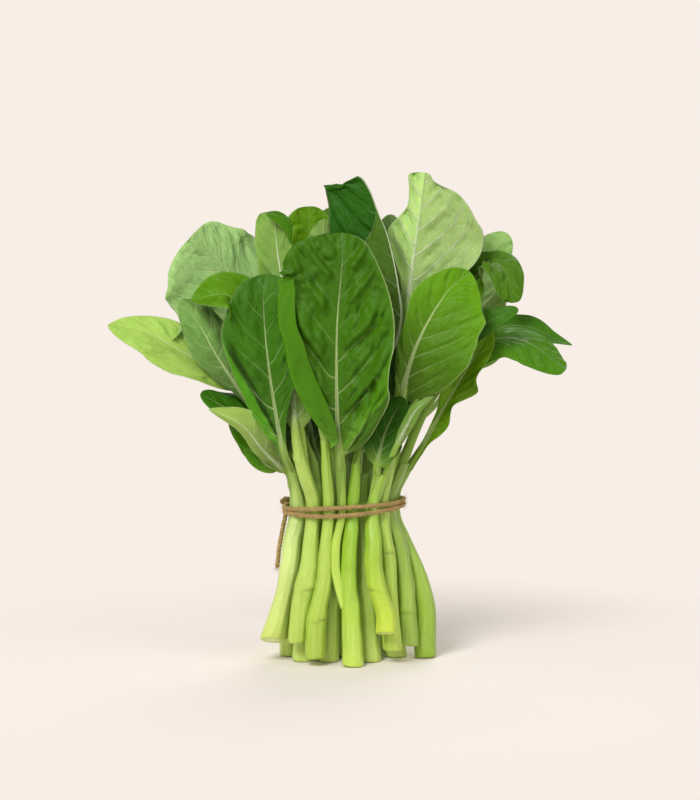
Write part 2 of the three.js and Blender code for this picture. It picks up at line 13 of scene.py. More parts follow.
import bpy
import numpy as np
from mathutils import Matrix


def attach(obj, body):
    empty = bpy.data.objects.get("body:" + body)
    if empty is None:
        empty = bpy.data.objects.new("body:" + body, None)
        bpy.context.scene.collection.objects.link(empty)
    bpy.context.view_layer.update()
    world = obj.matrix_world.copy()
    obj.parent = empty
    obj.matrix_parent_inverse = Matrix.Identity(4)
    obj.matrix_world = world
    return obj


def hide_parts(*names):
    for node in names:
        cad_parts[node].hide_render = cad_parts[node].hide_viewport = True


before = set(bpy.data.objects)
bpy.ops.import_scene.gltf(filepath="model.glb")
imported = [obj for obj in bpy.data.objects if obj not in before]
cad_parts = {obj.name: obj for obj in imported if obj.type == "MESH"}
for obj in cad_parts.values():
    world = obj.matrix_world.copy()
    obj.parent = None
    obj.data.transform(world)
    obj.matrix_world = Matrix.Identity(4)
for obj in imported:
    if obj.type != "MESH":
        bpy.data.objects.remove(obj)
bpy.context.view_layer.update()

MM = 0.001  # the tables below are in millimetres, and Blender works in metres

# %% [markdown]
# ## The camera
# A bunch like this is looked at from nearly its own height, a little from above. A long lens
# from further back keeps the standing stalks parallel; a short lens close by would swell the
# front leaf and make the feet splay. The camera stands on a circle round the middle of the
# bunch, so its place follows from a distance and an angle.

# %% Camera
AIM = np.array([0.0036, 0.0, 0.156])
CAMERA_LENS = 100
CAMERA_DISTANCE = 1.344
CAMERA_ABOVE = math.radians(4.5)

camera_data = bpy.data.cameras.new("camera")
camera_data.lens = CAMERA_LENS
camera = bpy.data.objects.new("camera", camera_data)
back = np.array([0, -math.cos(CAMERA_ABOVE), math.sin(CAMERA_ABOVE)])
camera.location = AIM + CAMERA_DISTANCE * back
camera.rotation_euler = (math.pi / 2 - CAMERA_ABOVE, 0, 0)
bpy.context.scene.collection.objects.link(camera)
bpy.context.scene.camera = camera
print("camera at", [round(c, 3) for c in camera.location])

# %% [markdown]
# ## Rings of points
# A stalk, a leaf and a cord are all the same kind of surface: a closed ring of points that is
# carried along a line and changes on its way. Extruded curves could make the cord but not a
# leaf that folds, so one helper takes any block of rings, joins ring to ring with four-sided
# faces and shuts both ends with a fan. Whatever a material needs to know about a place on the
# surface, such as how far it is from the midrib, is stored beside the points.

# %% Surfaces from rings
def ring_faces(rings, around):
    """Joins point k of ring i to point k + 1 and to ring i + 1, wrapping round the ring. The
    middle of each end is one more point, and a fan of triangles joins it to its ring."""
    i, k = np.meshgrid(np.arange(rings - 1), np.arange(around), indexing="ij")
    after = (k + 1) % around
    here, there = i * around, (i + 1) * around
    quads = np.stack([here + k, here + after, there + after, there + k], -1).reshape(-1, 4)
    k = np.arange(around)
    after, last, middle = (k + 1) % around, (rings - 1) * around, rings * around
    first_fan = np.stack([np.full(around, middle), after, k], -1)
    last_fan = np.stack([np.full(around, middle + 1), last + k, last + after], -1)
    return quads, np.concatenate([first_fan, last_fan])


def with_ends(block):
    """A block [ring, point, value] as rows, with the mean of the first and last ring added."""
    ends = np.stack([block[0].mean(0), block[-1].mean(0)])
    return np.concatenate([block.reshape(-1, block.shape[-1]), ends])


def show_in_scene(name, mesh):
    """An object that holds the mesh, put into the scene."""
    piece = bpy.data.objects.new(name, mesh)
    bpy.context.scene.collection.objects.link(piece)
    return piece


def surface(name, points, values, materials, second=None):
    """A mesh object from points [ring, point, xyz] in metres. values maps an attribute's name
    to a block [ring, point, 3 or 4 numbers]: three are a vector, four a colour. Faces of a ring
    from number second on carry the second material. They also start one corner later, so that
    both skins of a thin blade are split along the same diagonals and never cross."""
    rings, around = points.shape[:2]
    quads, fans = ring_faces(rings, around)
    lower = quads[:, 0] % around >= (around if second is None else second)
    quads[lower] = np.roll(quads[lower], -1, axis=1)
    mesh = bpy.data.meshes.new(name)
    mesh.from_pydata(with_ends(points).tolist(), [], quads.tolist() + fans.tolist())
    for key, block in values.items():
        is_vector = block.shape[-1] == 3
        kind, field = ("FLOAT_VECTOR", "vector") if is_vector else ("FLOAT_COLOR", "color")
        made = mesh.attributes.new(key, kind, "POINT")
        made.data.foreach_set(field, with_ends(block).astype(np.float32).ravel())
    for material in materials:
        mesh.materials.append(material)
    if second is not None:
        slots = np.zeros(len(quads) + len(fans), np.int32)
        slots[: len(quads)] = lower
        mesh.polygons.foreach_set("material_index", slots)
    mesh.polygons.foreach_set("use_smooth", np.ones(len(mesh.polygons), bool))
    mesh.update()
    return show_in_scene(name, mesh)


def settle_in(piece, slot, *nodes):
    """The piece moves with the one body and stands for nodes, whose solids it hides; slot is not used.
    """
    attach(piece, "root")
    if nodes:
        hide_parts(*nodes)
    return piece


print("a tube of 3 rings with 6 points has", [len(part) for part in ring_faces(3, 6)], "faces")

# %% [markdown]
# ## Small tools for shapes
# Nature never repeats a curve exactly. Three things give that: a smooth step that eases from 0
# to 1, a smooth noise on a grid, and a curve through a few points. All three take whole arrays,
# so a leaf of ten thousand points is one call. Every random table has its own seed, so the
# bunch comes out the same each time.

# %% Steps, noise and curves
def ease(start, end, x):
    """0 before start, 1 after end, and 3t^2 - 2t^3 between them."""
    t = np.clip((np.asarray(x, float) - start) / (end - start), 0, 1)
    return t * t * (3 - 2 * t)


def mix(a, b, t):
    """a where t is 0, b where t is 1, and in proportion between."""
    return a + (b - a) * t


NOISE_SIZE = 97


def noise(x, y, seed):
    """Random numbers from -1 to 1 at whole-number corners, eased into each other between. The
    table of corners repeats after NOISE_SIZE steps."""
    table = np.random.default_rng(seed).uniform(-1, 1, (NOISE_SIZE, NOISE_SIZE))
    x, y = np.broadcast_arrays(np.asarray(x, float), np.asarray(y, float))
    i, j = np.floor(x).astype(int), np.floor(y).astype(int)
    s, t = ease(0, 1, x - i), ease(0, 1, y - j)
    corner = lambda a, b: table[(i + a) % NOISE_SIZE, (j + b) % NOISE_SIZE]
    return mix(mix(corner(0, 0), corner(1, 0), s), mix(corner(0, 1), corner(1, 1), s), t)


CURVE_STEPS = 240


def lengths_along(line):
    """How far along the line each of its points lies: the sum of the steps up to it."""
    return np.concatenate([[0], np.cumsum(np.linalg.norm(np.diff(line, axis=0), axis=1))])


def curve_through(points):
    """A Catmull-Rom curve: between two points it is the cubic whose slope at each of them is
    half the step from the point before to the point after. The end points are mirrored out.
    Returns close points, the share of the whole length at which each lies, and that length."""
    p = np.asarray(points, float)
    p = np.concatenate([[2 * p[0] - p[1]], p, [2 * p[-1] - p[-2]]])
    t = np.linspace(0, 1, CURVE_STEPS, endpoint=False)[None, :, None]
    a, b, c, d = (p[n : len(p) - 3 + n, None, :] for n in range(4))
    cubic = (2 * a - 5 * b + 4 * c - d) + t * (3 * (b - c) + d - a)
    line = b + 0.5 * t * ((c - a) + t * cubic)
    line = np.concatenate([line.reshape(-1, 3), p[-2:-1]])
    length = lengths_along(line)
    return line, length / length[-1], length[-1]


def along_curve(line, share, wanted):
    """The curve's points at the wanted shares of its length."""
    return np.stack([np.interp(wanted, share, line[:, axis]) for axis in range(3)], -1)


def unit(v):
    """v scaled to length 1, row by row."""
    return v / np.linalg.norm(v, axis=-1, keepdims=True)


def srgb(*rgb):
    """A colour as it is written on a screen, 0 to 255, as the linear numbers that light uses:
    a straight line for the darkest values and the power 2.4 above them."""
    c = np.asarray(rgb, float) / 255
    return np.where(c <= 0.04045, c / 12.92, ((c + 0.055) / 1.055) ** 2.4)


def paint(*rgb):
    """The same as a colour for a shader socket, which has a fourth number."""
    return (*srgb(*rgb), 1)


bend = curve_through([[0, 0, 0], [1, 0, 0], [2, 1, 0], [3, 1, 0]])
print("a curve through 4 points has %d points and is %.2f long" % (len(bend[0]), bend[2]))

# %% [markdown]
# ## Wiring materials
# A material is a small chart of nodes. Wiring it by hand takes three lines for each node, so
# this helper does the repeated part: it adds a node, sets its values and links its inputs, and
# gives back the socket that the next node needs. In each material it is called w, for wires.

# %% Node helper
class Wires:
    """Adds nodes to one tree. A value that is a socket is linked, and any other is set."""

    def __init__(self, tree):
        """Keeps the tree."""
        self.tree = tree

    def add(self, kind, inputs=None, **settings):
        """A node of one kind with its settings made and its inputs filled."""
        node = self.tree.nodes.new(kind)
        for key, value in settings.items():
            setattr(node, key, value)
        for key, value in (inputs or {}).items():
            self.put(node.inputs[key], value)
        return node

    def put(self, socket, value):
        """Links a socket to the input, or writes a plain value into it."""
        if isinstance(value, bpy.types.NodeSocket):
            self.tree.links.new(value, socket)
        else:
            socket.default_value = value

    def math(self, operation, *values, clamp=False):
        """One sum on numbers; clamp keeps it from 0 to 1."""
        node = self.add("ShaderNodeMath", dict(enumerate(values)), operation=operation)
        node.use_clamp = clamp
        return node.outputs[0]

    def times(self, a, b, clamp=False):
        """a b"""
        return self.math("MULTIPLY", a, b, clamp=clamp)

    def plus(self, a, b):
        """a + b"""
        return self.math("ADD", a, b)

    def minus(self, a, b, clamp=False):
        """a - b"""
        return self.math("SUBTRACT", a, b, clamp=clamp)

    def size(self, a):
        """a without its sign"""
        return self.math("ABSOLUTE", a)

    def steps(self, value, start, end, low=0.0, high=1.0):
        """low before start, high after end, eased between."""
        sockets = {"Value": value, "From Min": start, "From Max": end, "To Min": low, "To Max": high}
        return self.add("ShaderNodeMapRange", sockets, interpolation_type="SMOOTHSTEP").outputs[0]

    def blend(self, factor, a, b):
        """Colour a where factor is 0 and b where it is 1."""
        return self.add("ShaderNodeMix", {0: factor, 6: a, 7: b}, data_type="RGBA").outputs[2]

    def vector(self, x, y, z=0.0):
        """Three numbers as one vector."""
        return self.add("ShaderNodeCombineXYZ", {0: x, 1: y, 2: z}).outputs[0]

    def dimmed(self, colour, level):
        """The colour times a level."""
        inputs = {0: colour, 1: self.vector(level, level, level)}
        return self.add("ShaderNodeVectorMath", inputs, operation="MULTIPLY").outputs[0]

    def parts(self, vector):
        """The three numbers of a vector."""
        return self.add("ShaderNodeSeparateXYZ", {0: vector}).outputs

    def kept(self, name):
        """The values that the mesh keeps under a name."""
        return self.add("ShaderNodeAttribute", attribute_name=name, attribute_type="GEOMETRY")

    def kept_parts(self, name):
        """The three numbers of a vector that the mesh keeps under a name."""
        return self.parts(self.kept(name).outputs["Vector"])

    def own_place(self):
        """The place on the object, in its own metres."""
        return self.add("ShaderNodeTexCoord").outputs["Object"]

    def bump(self, height, distance, strength):
        """The normal of a surface with small hills, as high as distance, in metres."""
        inputs = {"Height": height, "Distance": distance, "Strength": strength}
        return self.add("ShaderNodeBump", inputs).outputs[0]


def new_group(name, inputs, outputs):
    """A shader node group with named sockets, its wires, its input sockets and its output node."""
    tree = bpy.data.node_groups.new(name, "ShaderNodeTree")
    for title, kind in inputs.items():
        tree.interface.new_socket(title, in_out="INPUT", socket_type="NodeSocket" + kind)
    for title, kind in outputs.items():
        tree.interface.new_socket(title, in_out="OUTPUT", socket_type="NodeSocket" + kind)
    wires = Wires(tree)
    return tree, wires, wires.add("NodeGroupInput").outputs, wires.add("NodeGroupOutput")


def new_material(name):
    """An empty material: its wires, its Principled shader and its output node."""
    material = bpy.data.materials.new(name)
    material.use_nodes = True
    material.node_tree.nodes.clear()
    wires = Wires(material.node_tree)
    shader = wires.add("ShaderNodeBsdfPrincipled")
    output = wires.add("ShaderNodeOutputMaterial")
    wires.put(output.inputs[0], shader.outputs[0])
    return material, wires, shader, output


print("helpers:", [name for name in vars(Wires) if not name.startswith("_")])

# %% [markdown]
# ## Uneven colour
# Skin, blade and jute all share one thing: their colour is never quite even. The effect is
# built once as a group with a name. It takes a colour and a place, lays broad clouds and fine
# grain over it, and gives back a slightly lighter or darker colour. Each material sets how
# large the clouds are and how strong the change is.

# %% Group: uneven colour
uneven, w, came, gone = new_group(
    "uneven colour",
    {"Colour": "Color", "Place": "Vector", "Clouds": "Float", "Grain": "Float", "Amount": "Float"},
    {"Colour": "Color", "Grain": "Float"},
)
cloud_inputs = {"Vector": came["Place"], "Scale": came["Clouds"], "Detail": 3.0}
clouds = w.add("ShaderNodeTexNoise", cloud_inputs).outputs[0]
grain_inputs = {"Vector": came["Place"], "Scale": came["Grain"], "Detail": 2.0}
grain = w.add("ShaderNodeTexNoise", grain_inputs).outputs[0]
both = w.plus(w.minus(clouds, 0.5), w.minus(grain, 0.5))
level = w.plus(1.0, w.times(both, came["Amount"]))
w.put(gone.inputs["Colour"], w.dimmed(came["Colour"], level))
w.put(gone.inputs["Grain"], grain)
print("group:", uneven.name)

# %% [markdown]
# ## Jute
# Jute twine is spun from long, dull brown fibres; three strands are twisted round each other.
# Modelling each fibre would take thousands of curves. Instead the strands are in the shape, and
# the fibres are a noise that is stretched along each strand and turned with the twist. The
# mesh keeps how far round and how far along each point is, and the pattern runs on that.

# %% Material: jute
jute, w, shader, output = new_material("jute_twine")
round_it, along_it, ridge = w.kept_parts("thread")
fibre_place = w.vector(w.times(round_it, 3.2), w.times(along_it, 0.35), ridge)
fibre_inputs = {"Vector": fibre_place, "Scale": 2.4, "Detail": 4.0, "Roughness": 0.65}
fibres = w.add("ShaderNodeTexNoise", fibre_inputs).outputs[0]
spread = w.steps(fibres, 0.3, 0.72)
brown = w.blend(spread, paint(110, 76, 32), paint(250, 216, 142))
worn = w.add("ShaderNodeGroup", node_tree=uneven, inputs={
    "Colour": brown, "Place": w.kept("thread").outputs["Vector"],
    "Clouds": 0.16, "Grain": 1.7, "Amount": 0.75,
})
# Painted shade: the colour goes down to 36% in the grooves between the strands.
painted_groove_shade = w.steps(ridge, 0.76, 0.98, 0.36, 1.0)
w.put(shader.inputs["Base Color"], w.dimmed(worn.outputs["Colour"], painted_groove_shade))
w.put(shader.inputs["Roughness"], w.steps(fibres, 0.2, 0.8, 0.78, 0.98))
w.put(shader.inputs["Normal"], w.bump(fibres, 0.0004, 0.9))
print("material:", jute.name)

# %% [markdown]
# ## The loose end of the twine
# Below the knot the twine hangs down beside the stalks and ends in a small fray. It is limp,
# about 3 mm thick and less than four centimetres long, and it hangs in one soft curve. The
# route has the same points as its solid. A plain round pipe would look like wire, so the ring
# that is carried along it has three lobes, the strands, and turns on its way. Thin fibres are
# added to its end further down.

# %% Cord with strands
KNOT_CENTRE = np.array([-35.77, 17.75, 92.0])
TAIL_TOP = [-35.77, 17.75, 88.05]
TAIL_ROUTE = [
    [-36.2, 17.2, 83], [-37.6, 14.4, 76], [-39, 10.5, 69], [-40, 6.5, 62], [-40.7, 3.5, 54],
]
TAIL_RADIUS = 1.3
TAIL_LOOSER = 1.08  # the free strands stand a little wider than the cord's own radius
TAIL_PITCH = 7.5
STRANDS = 3
CORD_POINTS = 24
CORD_UNEVEN = 0.16


def cord_surface(name, line, radius, pitch, lobes=0.24, lift=(0, 0, 1)):
    """A twisted cord. The ring at each point of the line lies across the line; its radius is
    R (1 - lobes + lobes |cos(1.5 a)|^0.8), so it has three lobes, times a slow noise. The angle
    a turns once round for each pitch of length. Keeps angle, length and radius share for the
    fibre pattern and for the painted shade in the grooves between the strands."""
    along = unit(np.gradient(line, axis=0))
    first = unit(np.cross(along, np.asarray(lift, float)))
    second = np.cross(along, first)
    length = lengths_along(line)[:, None]
    angle = np.linspace(0, 2 * np.pi, CORD_POINTS, endpoint=False)[None, :]
    twist = angle - 2 * np.pi * length / pitch
    share = 1 - lobes + lobes * np.abs(np.cos(STRANDS / 2 * twist)) ** 0.8
    size = radius * share * (1 + CORD_UNEVEN * noise(length / 1.7 + 0 * angle, twist * 1.5, 11))
    offset = np.cos(angle)[..., None] * first[:, None] + np.sin(angle)[..., None] * second[:, None]
    points = (line[:, None] + size[..., None] * offset) * MM
    kept = np.stack([twist, length + 0 * twist, share], -1)
    return surface(name, points, {"thread": kept}, [jute])


tail_line, tail_share, tail_length = curve_through([TAIL_TOP, *TAIL_ROUTE])
tail_points = along_curve(tail_line, tail_share, np.linspace(0, 1, 33))
tail_rings = along_curve(tail_line, tail_share, np.linspace(0, 1, 90))
tail = cord_surface("twine_tail_cord", tail_rings, TAIL_RADIUS * TAIL_LOOSER, TAIL_PITCH, lift=(0, 1, 0))
settle_in(tail, "twine", "twine_tail")
print("loose end: %.1f mm long" % tail_length)

# %% [markdown]
# ## The turns of twine and the knot
# The twine goes twice round the waist and is knotted at the back left. The two turns are one
# line that winds round an oval, and the second lies below the first, close behind and a little
# apart in front. Hand-tied twine wavers, so slow noise moves the line up and down by up to
# 0.4 mm. The knot is a pulled-tight overhand knot: a trefoil line, squeezed into a lump.

# %% Turns and knot
WAIST = np.array([34.4, 28.6])  # half the bundle's width and depth at the twine
TIE_HEIGHT = 92
TWINE_RADIUS = 1.35
TWINE_PITCH = 4.2
TWINE_TURNS = 2
TWINE_SLANT = 2.2
CLEAR = 0.35  # air between a piece and what it lies against
KNOT_ANGLE = math.radians(150)
KNOT_HALF = np.array([3.0, 4.2, 3.6])

turn = np.linspace(0, TWINE_TURNS, 620)
round_angle = KNOT_ANGLE + 2 * np.pi * turn
front = np.clip(-np.sin(round_angle), 0, 1) ** 2
half_gap = mix(0.5 * TWINE_PITCH * 0.62, 0.5 * TWINE_PITCH * 1.08, front)
second_turn = ease(0.9, 1.1, turn)
height = TIE_HEIGHT + TWINE_SLANT * np.cos(round_angle) + mix(1, -1, second_turn) * half_gap
waver = 0.4 * noise(round_angle * 1.6, turn * 0, 5) * np.sin(np.pi * turn / TWINE_TURNS)
oval = WAIST + CLEAR + TWINE_RADIUS
wrap_line = np.stack([oval[0] * np.cos(round_angle), oval[1] * np.sin(round_angle), height + waver], -1)
wrap = cord_surface("twine_turns", wrap_line, TWINE_RADIUS, pitch=6.0, lobes=0.30)
settle_in(wrap, "twine", "twine_wrap")

t = np.linspace(0, 2 * np.pi, 160)
trefoil = np.stack([
    np.sin(3 * t) * 0.9,
    (np.sin(t) + 2 * np.sin(2 * t)) / 2.6,
    (np.cos(t) - 2 * np.cos(2 * t)) / 2.6,
], -1)
trefoil = trefoil * (KNOT_HALF - TWINE_RADIUS * 0.85)
c, s = math.cos(KNOT_ANGLE), math.sin(KNOT_ANGLE)
trefoil = trefoil @ np.array([[c, s, 0], [-s, c, 0], [0, 0, 1]]) + KNOT_CENTRE
knot = cord_surface("twine_knot_lump", trefoil, TWINE_RADIUS * 0.8, pitch=8.5, lift=(0.31, 0.17, 0.93))
settle_in(knot, "twine", "twine_knot")
print("turns: %d, knot about %.0f mm wide" % (TWINE_TURNS, 2 * KNOT_HALF[1]))

# %% [markdown]
# ## Fuzz
# What makes jute look like jute is its fuzz: short loose fibres that stand off the twine. They
# could be hair, but hair is lost when the model is taken elsewhere. Here each fibre is a thin
# three-sided spike with a few rings. Those of the turns are worked out in one array and kept in
# one mesh, and those of the loose end in another; these are longer and mostly point down.

# %% Loose fibres
FIBRE_RINGS = 4
FIBRE_SIDES = 3
FIBRE_PLACES = FIBRE_RINGS * FIBRE_SIDES + 2  # the middles of both ends are two more


def fibre_mesh(name, roots, directions, lengths, radius, seed):
    """Every fibre's line is root + direction * l t + bend * l t^2, for t from 0 to 1, and its
    three-sided ring shrinks with 1 - 0.85 t. All fibres are joined in one mesh."""
    rng = np.random.default_rng(seed)
    count = len(roots)
    t = np.linspace(0, 1, FIBRE_RINGS)[None, :, None]
    bend = rng.normal(0, 0.45, (count, 1, 3))
    length = lengths[:, None, None]
    line = roots[:, None] + length * (directions[:, None] * t + bend * t**2)
    first = unit(np.cross(directions, rng.normal(0, 1, (count, 3))))
    second = np.cross(directions, first)
    angle = np.arange(FIBRE_SIDES) * 2 * np.pi / FIBRE_SIDES
    ring = np.cos(angle)[:, None] * first[:, None] + np.sin(angle)[:, None] * second[:, None]
    points = line[:, :, None] + radius * (1.0 - 0.85 * t)[..., None] * ring[:, None]
    ends = np.stack([points[:, 0].mean(1), points[:, -1].mean(1)], 1)
    every = np.concatenate([points.reshape(count, -1, 3), ends], 1).reshape(-1, 3)
    base = np.arange(count)[:, None, None] * FIBRE_PLACES
    one_fibre = ring_faces(FIBRE_RINGS, FIBRE_SIDES)
    quads, fans = ((part[None] + base).reshape(-1, part.shape[1]) for part in one_fibre)
    mesh = bpy.data.meshes.new(name)
    mesh.from_pydata((every * MM).tolist(), [], quads.tolist() + fans.tolist())
    shade = np.repeat(rng.uniform(0, 40, count), FIBRE_PLACES)
    kept = np.stack([shade, every[:, 2], np.ones(len(every))], -1)
    made = mesh.attributes.new("thread", "FLOAT_VECTOR", "POINT")
    made.data.foreach_set("vector", kept.astype(np.float32).ravel())
    mesh.materials.append(jute)
    return show_in_scene(name, mesh)


FUZZ_FIBRES = 1500
rng = np.random.default_rng(21)
spots = rng.integers(0, len(wrap_line), FUZZ_FIBRES)
outward = unit(wrap_line[spots] * [1, 1, 0])
up = np.array([0, 0, 1])
out_share, up_share = rng.uniform(0.2, 1, (FUZZ_FIBRES, 1)), rng.uniform(-1, 1, (FUZZ_FIBRES, 1))
around_it = unit(outward * out_share + up * up_share)
run = unit(np.gradient(wrap_line, axis=0))[spots]
off_share, onward = rng.uniform(0.25, 0.9, (FUZZ_FIBRES, 1)), rng.choice([-1, 1], (FUZZ_FIBRES, 1))
aim = unit(around_it * off_share + run * onward)
roots = wrap_line[spots] + around_it * TWINE_RADIUS * 0.8
fuzz = fibre_mesh("twine_fuzz", roots, aim, rng.uniform(0.8, 3.0, FUZZ_FIBRES), radius=0.075, seed=22)
settle_in(fuzz, "twine")

END_FIBRES = 70
SIDE_FIBRES = 50
end, down = tail_points[-1], unit(tail_points[-1] - tail_points[-4])
roots = end + rng.normal(0, 0.55, (END_FIBRES, 3)) - down * rng.uniform(0, 2, (END_FIBRES, 1))
fray_aim = unit(down + rng.normal(0, 0.28, (END_FIBRES, 3)))
side_spots = rng.integers(0, len(tail_points) - 1, SIDE_FIBRES)
side_roots = tail_points[side_spots] + rng.normal(0, 0.5, (SIDE_FIBRES, 3))
side_aim = unit(down * 0.8 + rng.normal(0, 0.5, (SIDE_FIBRES, 3)))
lengths = rng.uniform(1.5, 4.5, END_FIBRES + SIDE_FIBRES)
fray = fibre_mesh("twine_fray", np.concatenate([roots, side_roots]),
                  np.concatenate([fray_aim, side_aim]), lengths, radius=0.08, seed=23)
settle_in(fray, "twine")
print("fibres:", FUZZ_FIBRES + len(lengths))

# %% [markdown]
# ## The skin of a stalk
# A stalk's skin is smooth and slightly waxy, with fine lengthwise lines where the bundles of
# fibres lie under it, and a little light passes through it into the flesh. The lines could be
# drawn as a picture and wrapped on, but the stalks bend and taper, so they follow the values
# kept on the mesh: how far round and how far up.

# %% Material: stalk skin
def juicy(shader):
    """A little light goes into the flesh and comes out again nearby, mostly red and green."""
    shader.inputs["Subsurface Weight"].default_value = 0.12
    shader.inputs["Subsurface Radius"].default_value = (0.9, 1.0, 0.35)
    shader.inputs["Subsurface Scale"].default_value = 0.002


stalk_skin, w, shader, output = new_material("stalk_skin")
round_it, up_it, mark = w.kept_parts("skin")
line_place = w.vector(w.times(round_it, 0.8), w.times(up_it, 0.02))
line_inputs = {"Vector": line_place, "Scale": 1.6, "Detail": 4.0, "Roughness": 0.6}
lines = w.add("ShaderNodeTexNoise", line_inputs).outputs[0]
stalk_tone = w.add("ShaderNodeGroup", node_tree=uneven, inputs={
    "Colour": w.kept("tone").outputs["Color"], "Place": w.own_place(),
    "Clouds": 90.0, "Grain": 900.0, "Amount": 0.16,
})
light_line = w.times(w.steps(lines, 0.52, 0.70), 0.20)
dark_line = w.times(w.steps(lines, 0.44, 0.30), 0.16)
lined = w.blend(light_line, stalk_tone.outputs["Colour"], paint(232, 243, 184))
lined = w.blend(dark_line, lined, paint(120, 158, 40))
w.put(shader.inputs["Base Color"], w.blend(mark, lined, paint(112, 128, 52)))
w.put(shader.inputs["Roughness"], w.steps(stalk_tone.outputs["Grain"], 0.3, 0.7, 0.34, 0.50))
w.put(shader.inputs["Normal"], w.bump(lines, 0.00035, 0.55))
juicy(shader)
print("material:", stalk_skin.name)

# %% [markdown]
# ## Cut ends
# Each stalk was cut with a knife, so its end shows the inside: a pale, wet pith, a ring of
# darker fibre bundles just under the skin, and the skin itself. The end is its own material.
# It reads how far each point is from the middle of the cut.

# %% Material: cut end
cut_end, w, shader, output = new_material("cut_end")
from_middle = w.kept_parts("skin")[2]
cell = w.add("ShaderNodeTexVoronoi", {"Vector": w.own_place(), "Scale": 1500.0}).outputs["Distance"]
wobble = w.plus(from_middle, w.times(w.minus(cell, 0.4), 0.10))
bundles = w.times(w.steps(wobble, 0.62, 0.74), w.steps(wobble, 0.92, 0.82))
pith = w.blend(w.steps(wobble, 0.0, 0.7), paint(236, 242, 196), paint(218, 232, 150))
ringed = w.blend(w.times(bundles, 0.7), pith, paint(168, 190, 92))
rimmed = w.blend(w.steps(wobble, 0.90, 1.0), ringed, w.kept("tone").outputs["Color"])
w.put(shader.inputs["Base Color"], rimmed)
w.put(shader.inputs["Roughness"], w.steps(cell, 0.1, 0.6, 0.30, 0.55))
w.put(shader.inputs["Normal"], w.bump(cell, 0.0002, 0.5))
juicy(shader)
print("material:", cut_end.name)

# %% [markdown]
# ## Where each stalk runs
# The solids already say where a stalk runs and how thick it is: each is a stack of level rings.
# Reading them back keeps this stalk in its solid's place, but for shifts of a few millimetres,
# because a grown stalk leans and bows. Between the rings a smooth curve is laid, because it has
# bends and no corners.

# %% Stalk lines
STALKS = 24


def stalk_name(number):
    """The node of a stalk, from stalk_01 on."""
    return f"stalk_{number:02d}"


def stalk_line(node):
    """Middles and radii of the rings of a stalk's solid, in millimetres. A radius is the mean
    distance of a ring's points from their middle."""
    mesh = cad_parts[node].data
    co = np.empty(len(mesh.vertices) * 3, np.float32)
    mesh.vertices.foreach_get("co", co)
    points = np.unique(np.round(co.reshape(-1, 3).astype(float) / MM, 3), axis=0)
    levels = np.unique(np.round(points[:, 2], 1))
    rings = [points[np.abs(points[:, 2] - z) < 0.2] for z in levels]
    middles = np.array([ring.mean(0) for ring in rings])
    off = [np.linalg.norm((ring - middle)[:, :2], axis=1) for ring, middle in zip(rings, middles)]
    return middles, np.array([distances.mean() for distances in off])


def smooth_between(x, y, wanted):
    """Values y known at x, by cubics that meet with equal slopes (the slope of y over x)."""
    slope = np.gradient(y, x)
    i = np.clip(np.searchsorted(x, wanted, side="right") - 1, 0, len(x) - 2)
    step = x[i + 1] - x[i]
    t = (wanted - x[i]) / step
    rise = t * t * (3 - 2 * t)
    bow = t * (1 - t) ** 2 * slope[i] - t * t * (1 - t) * slope[i + 1]
    return mix(y[i], y[i + 1], rise) + step * bow


LINES = {n: stalk_line(stalk_name(n)) for n in range(1, STALKS + 1)}
# Small shifts of grown stalks from their straight-sided solids: (height, to the right, back).
SHIFTS = {
    2: [(0, 0, 0), (50, -0.5, 0), (72, -2.4, 1.5), (92, -2.2, 2.5), (120, -2.0, 1)],
    3: [(0, 0, 0), (20, 1, 0), (58, 0.6, 0), (72, -1.4, 1), (88, -2.6, 1.6), (135, -1, 0)],
    5: [(30, 4.4, 1.6), (46, 2.4, 0.6), (62, 0, 0), (120, 0, 0)],
    7: [(0, 0, 0), (43, 2.6, 0), (58, 3, 0), (72, 4.6, 0), (92, 3.6, -0.4), (125, 3, 0)],
    8: [(0, 0, 0), (43, 1, 0), (60, 2, 0), (80, 1.4, 0), (92, 0.8, 0), (140, 0, 0)],
    10: [(0, -0.9, 0), (60, -0.9, 0), (85, 0, 0)],
    14: [(92, 0, 0), (116, -4, 0)],
    17: [(92, 0, 0), (116, 3, 0)],
    19: [(92, 0, 0), (116, -6, 0)],
    22: [(92, 0, 0), (116, -4, 0)],
}
for n, rows in SHIFTS.items():
    middles = LINES[n][0]
    at, right, behind = np.array(rows).T
    middles[:, 0] += np.interp(middles[:, 2], at, right)
    middles[:, 1] += np.interp(middles[:, 2], at, behind)
print("stalk_03 runs from", LINES[3][0][0].round(1), "to", LINES[3][0][-1].round(1))

# %% [markdown]
# ## Which leaf springs from which stalk
# Each row gives one leaf. The first numbers are those of its solid: the stalk that it springs
# from, the leaf stalk's radius, the midrib's points, where the upper side looks, and the blade's
# widths and folds. They keep the finished leaf where its solid is. A leaf that shows well also
# has what the solid leaves out: the widths of each side as a table, slanting creases, a
# turned-over margin. Such a table is quicker to correct than a sculpted blade.

# %% Leaf table: shapes
Crease = namedtuple("Crease", "side at span angle width tint")
Flap = namedtuple("Flap", "side bend angle start end")


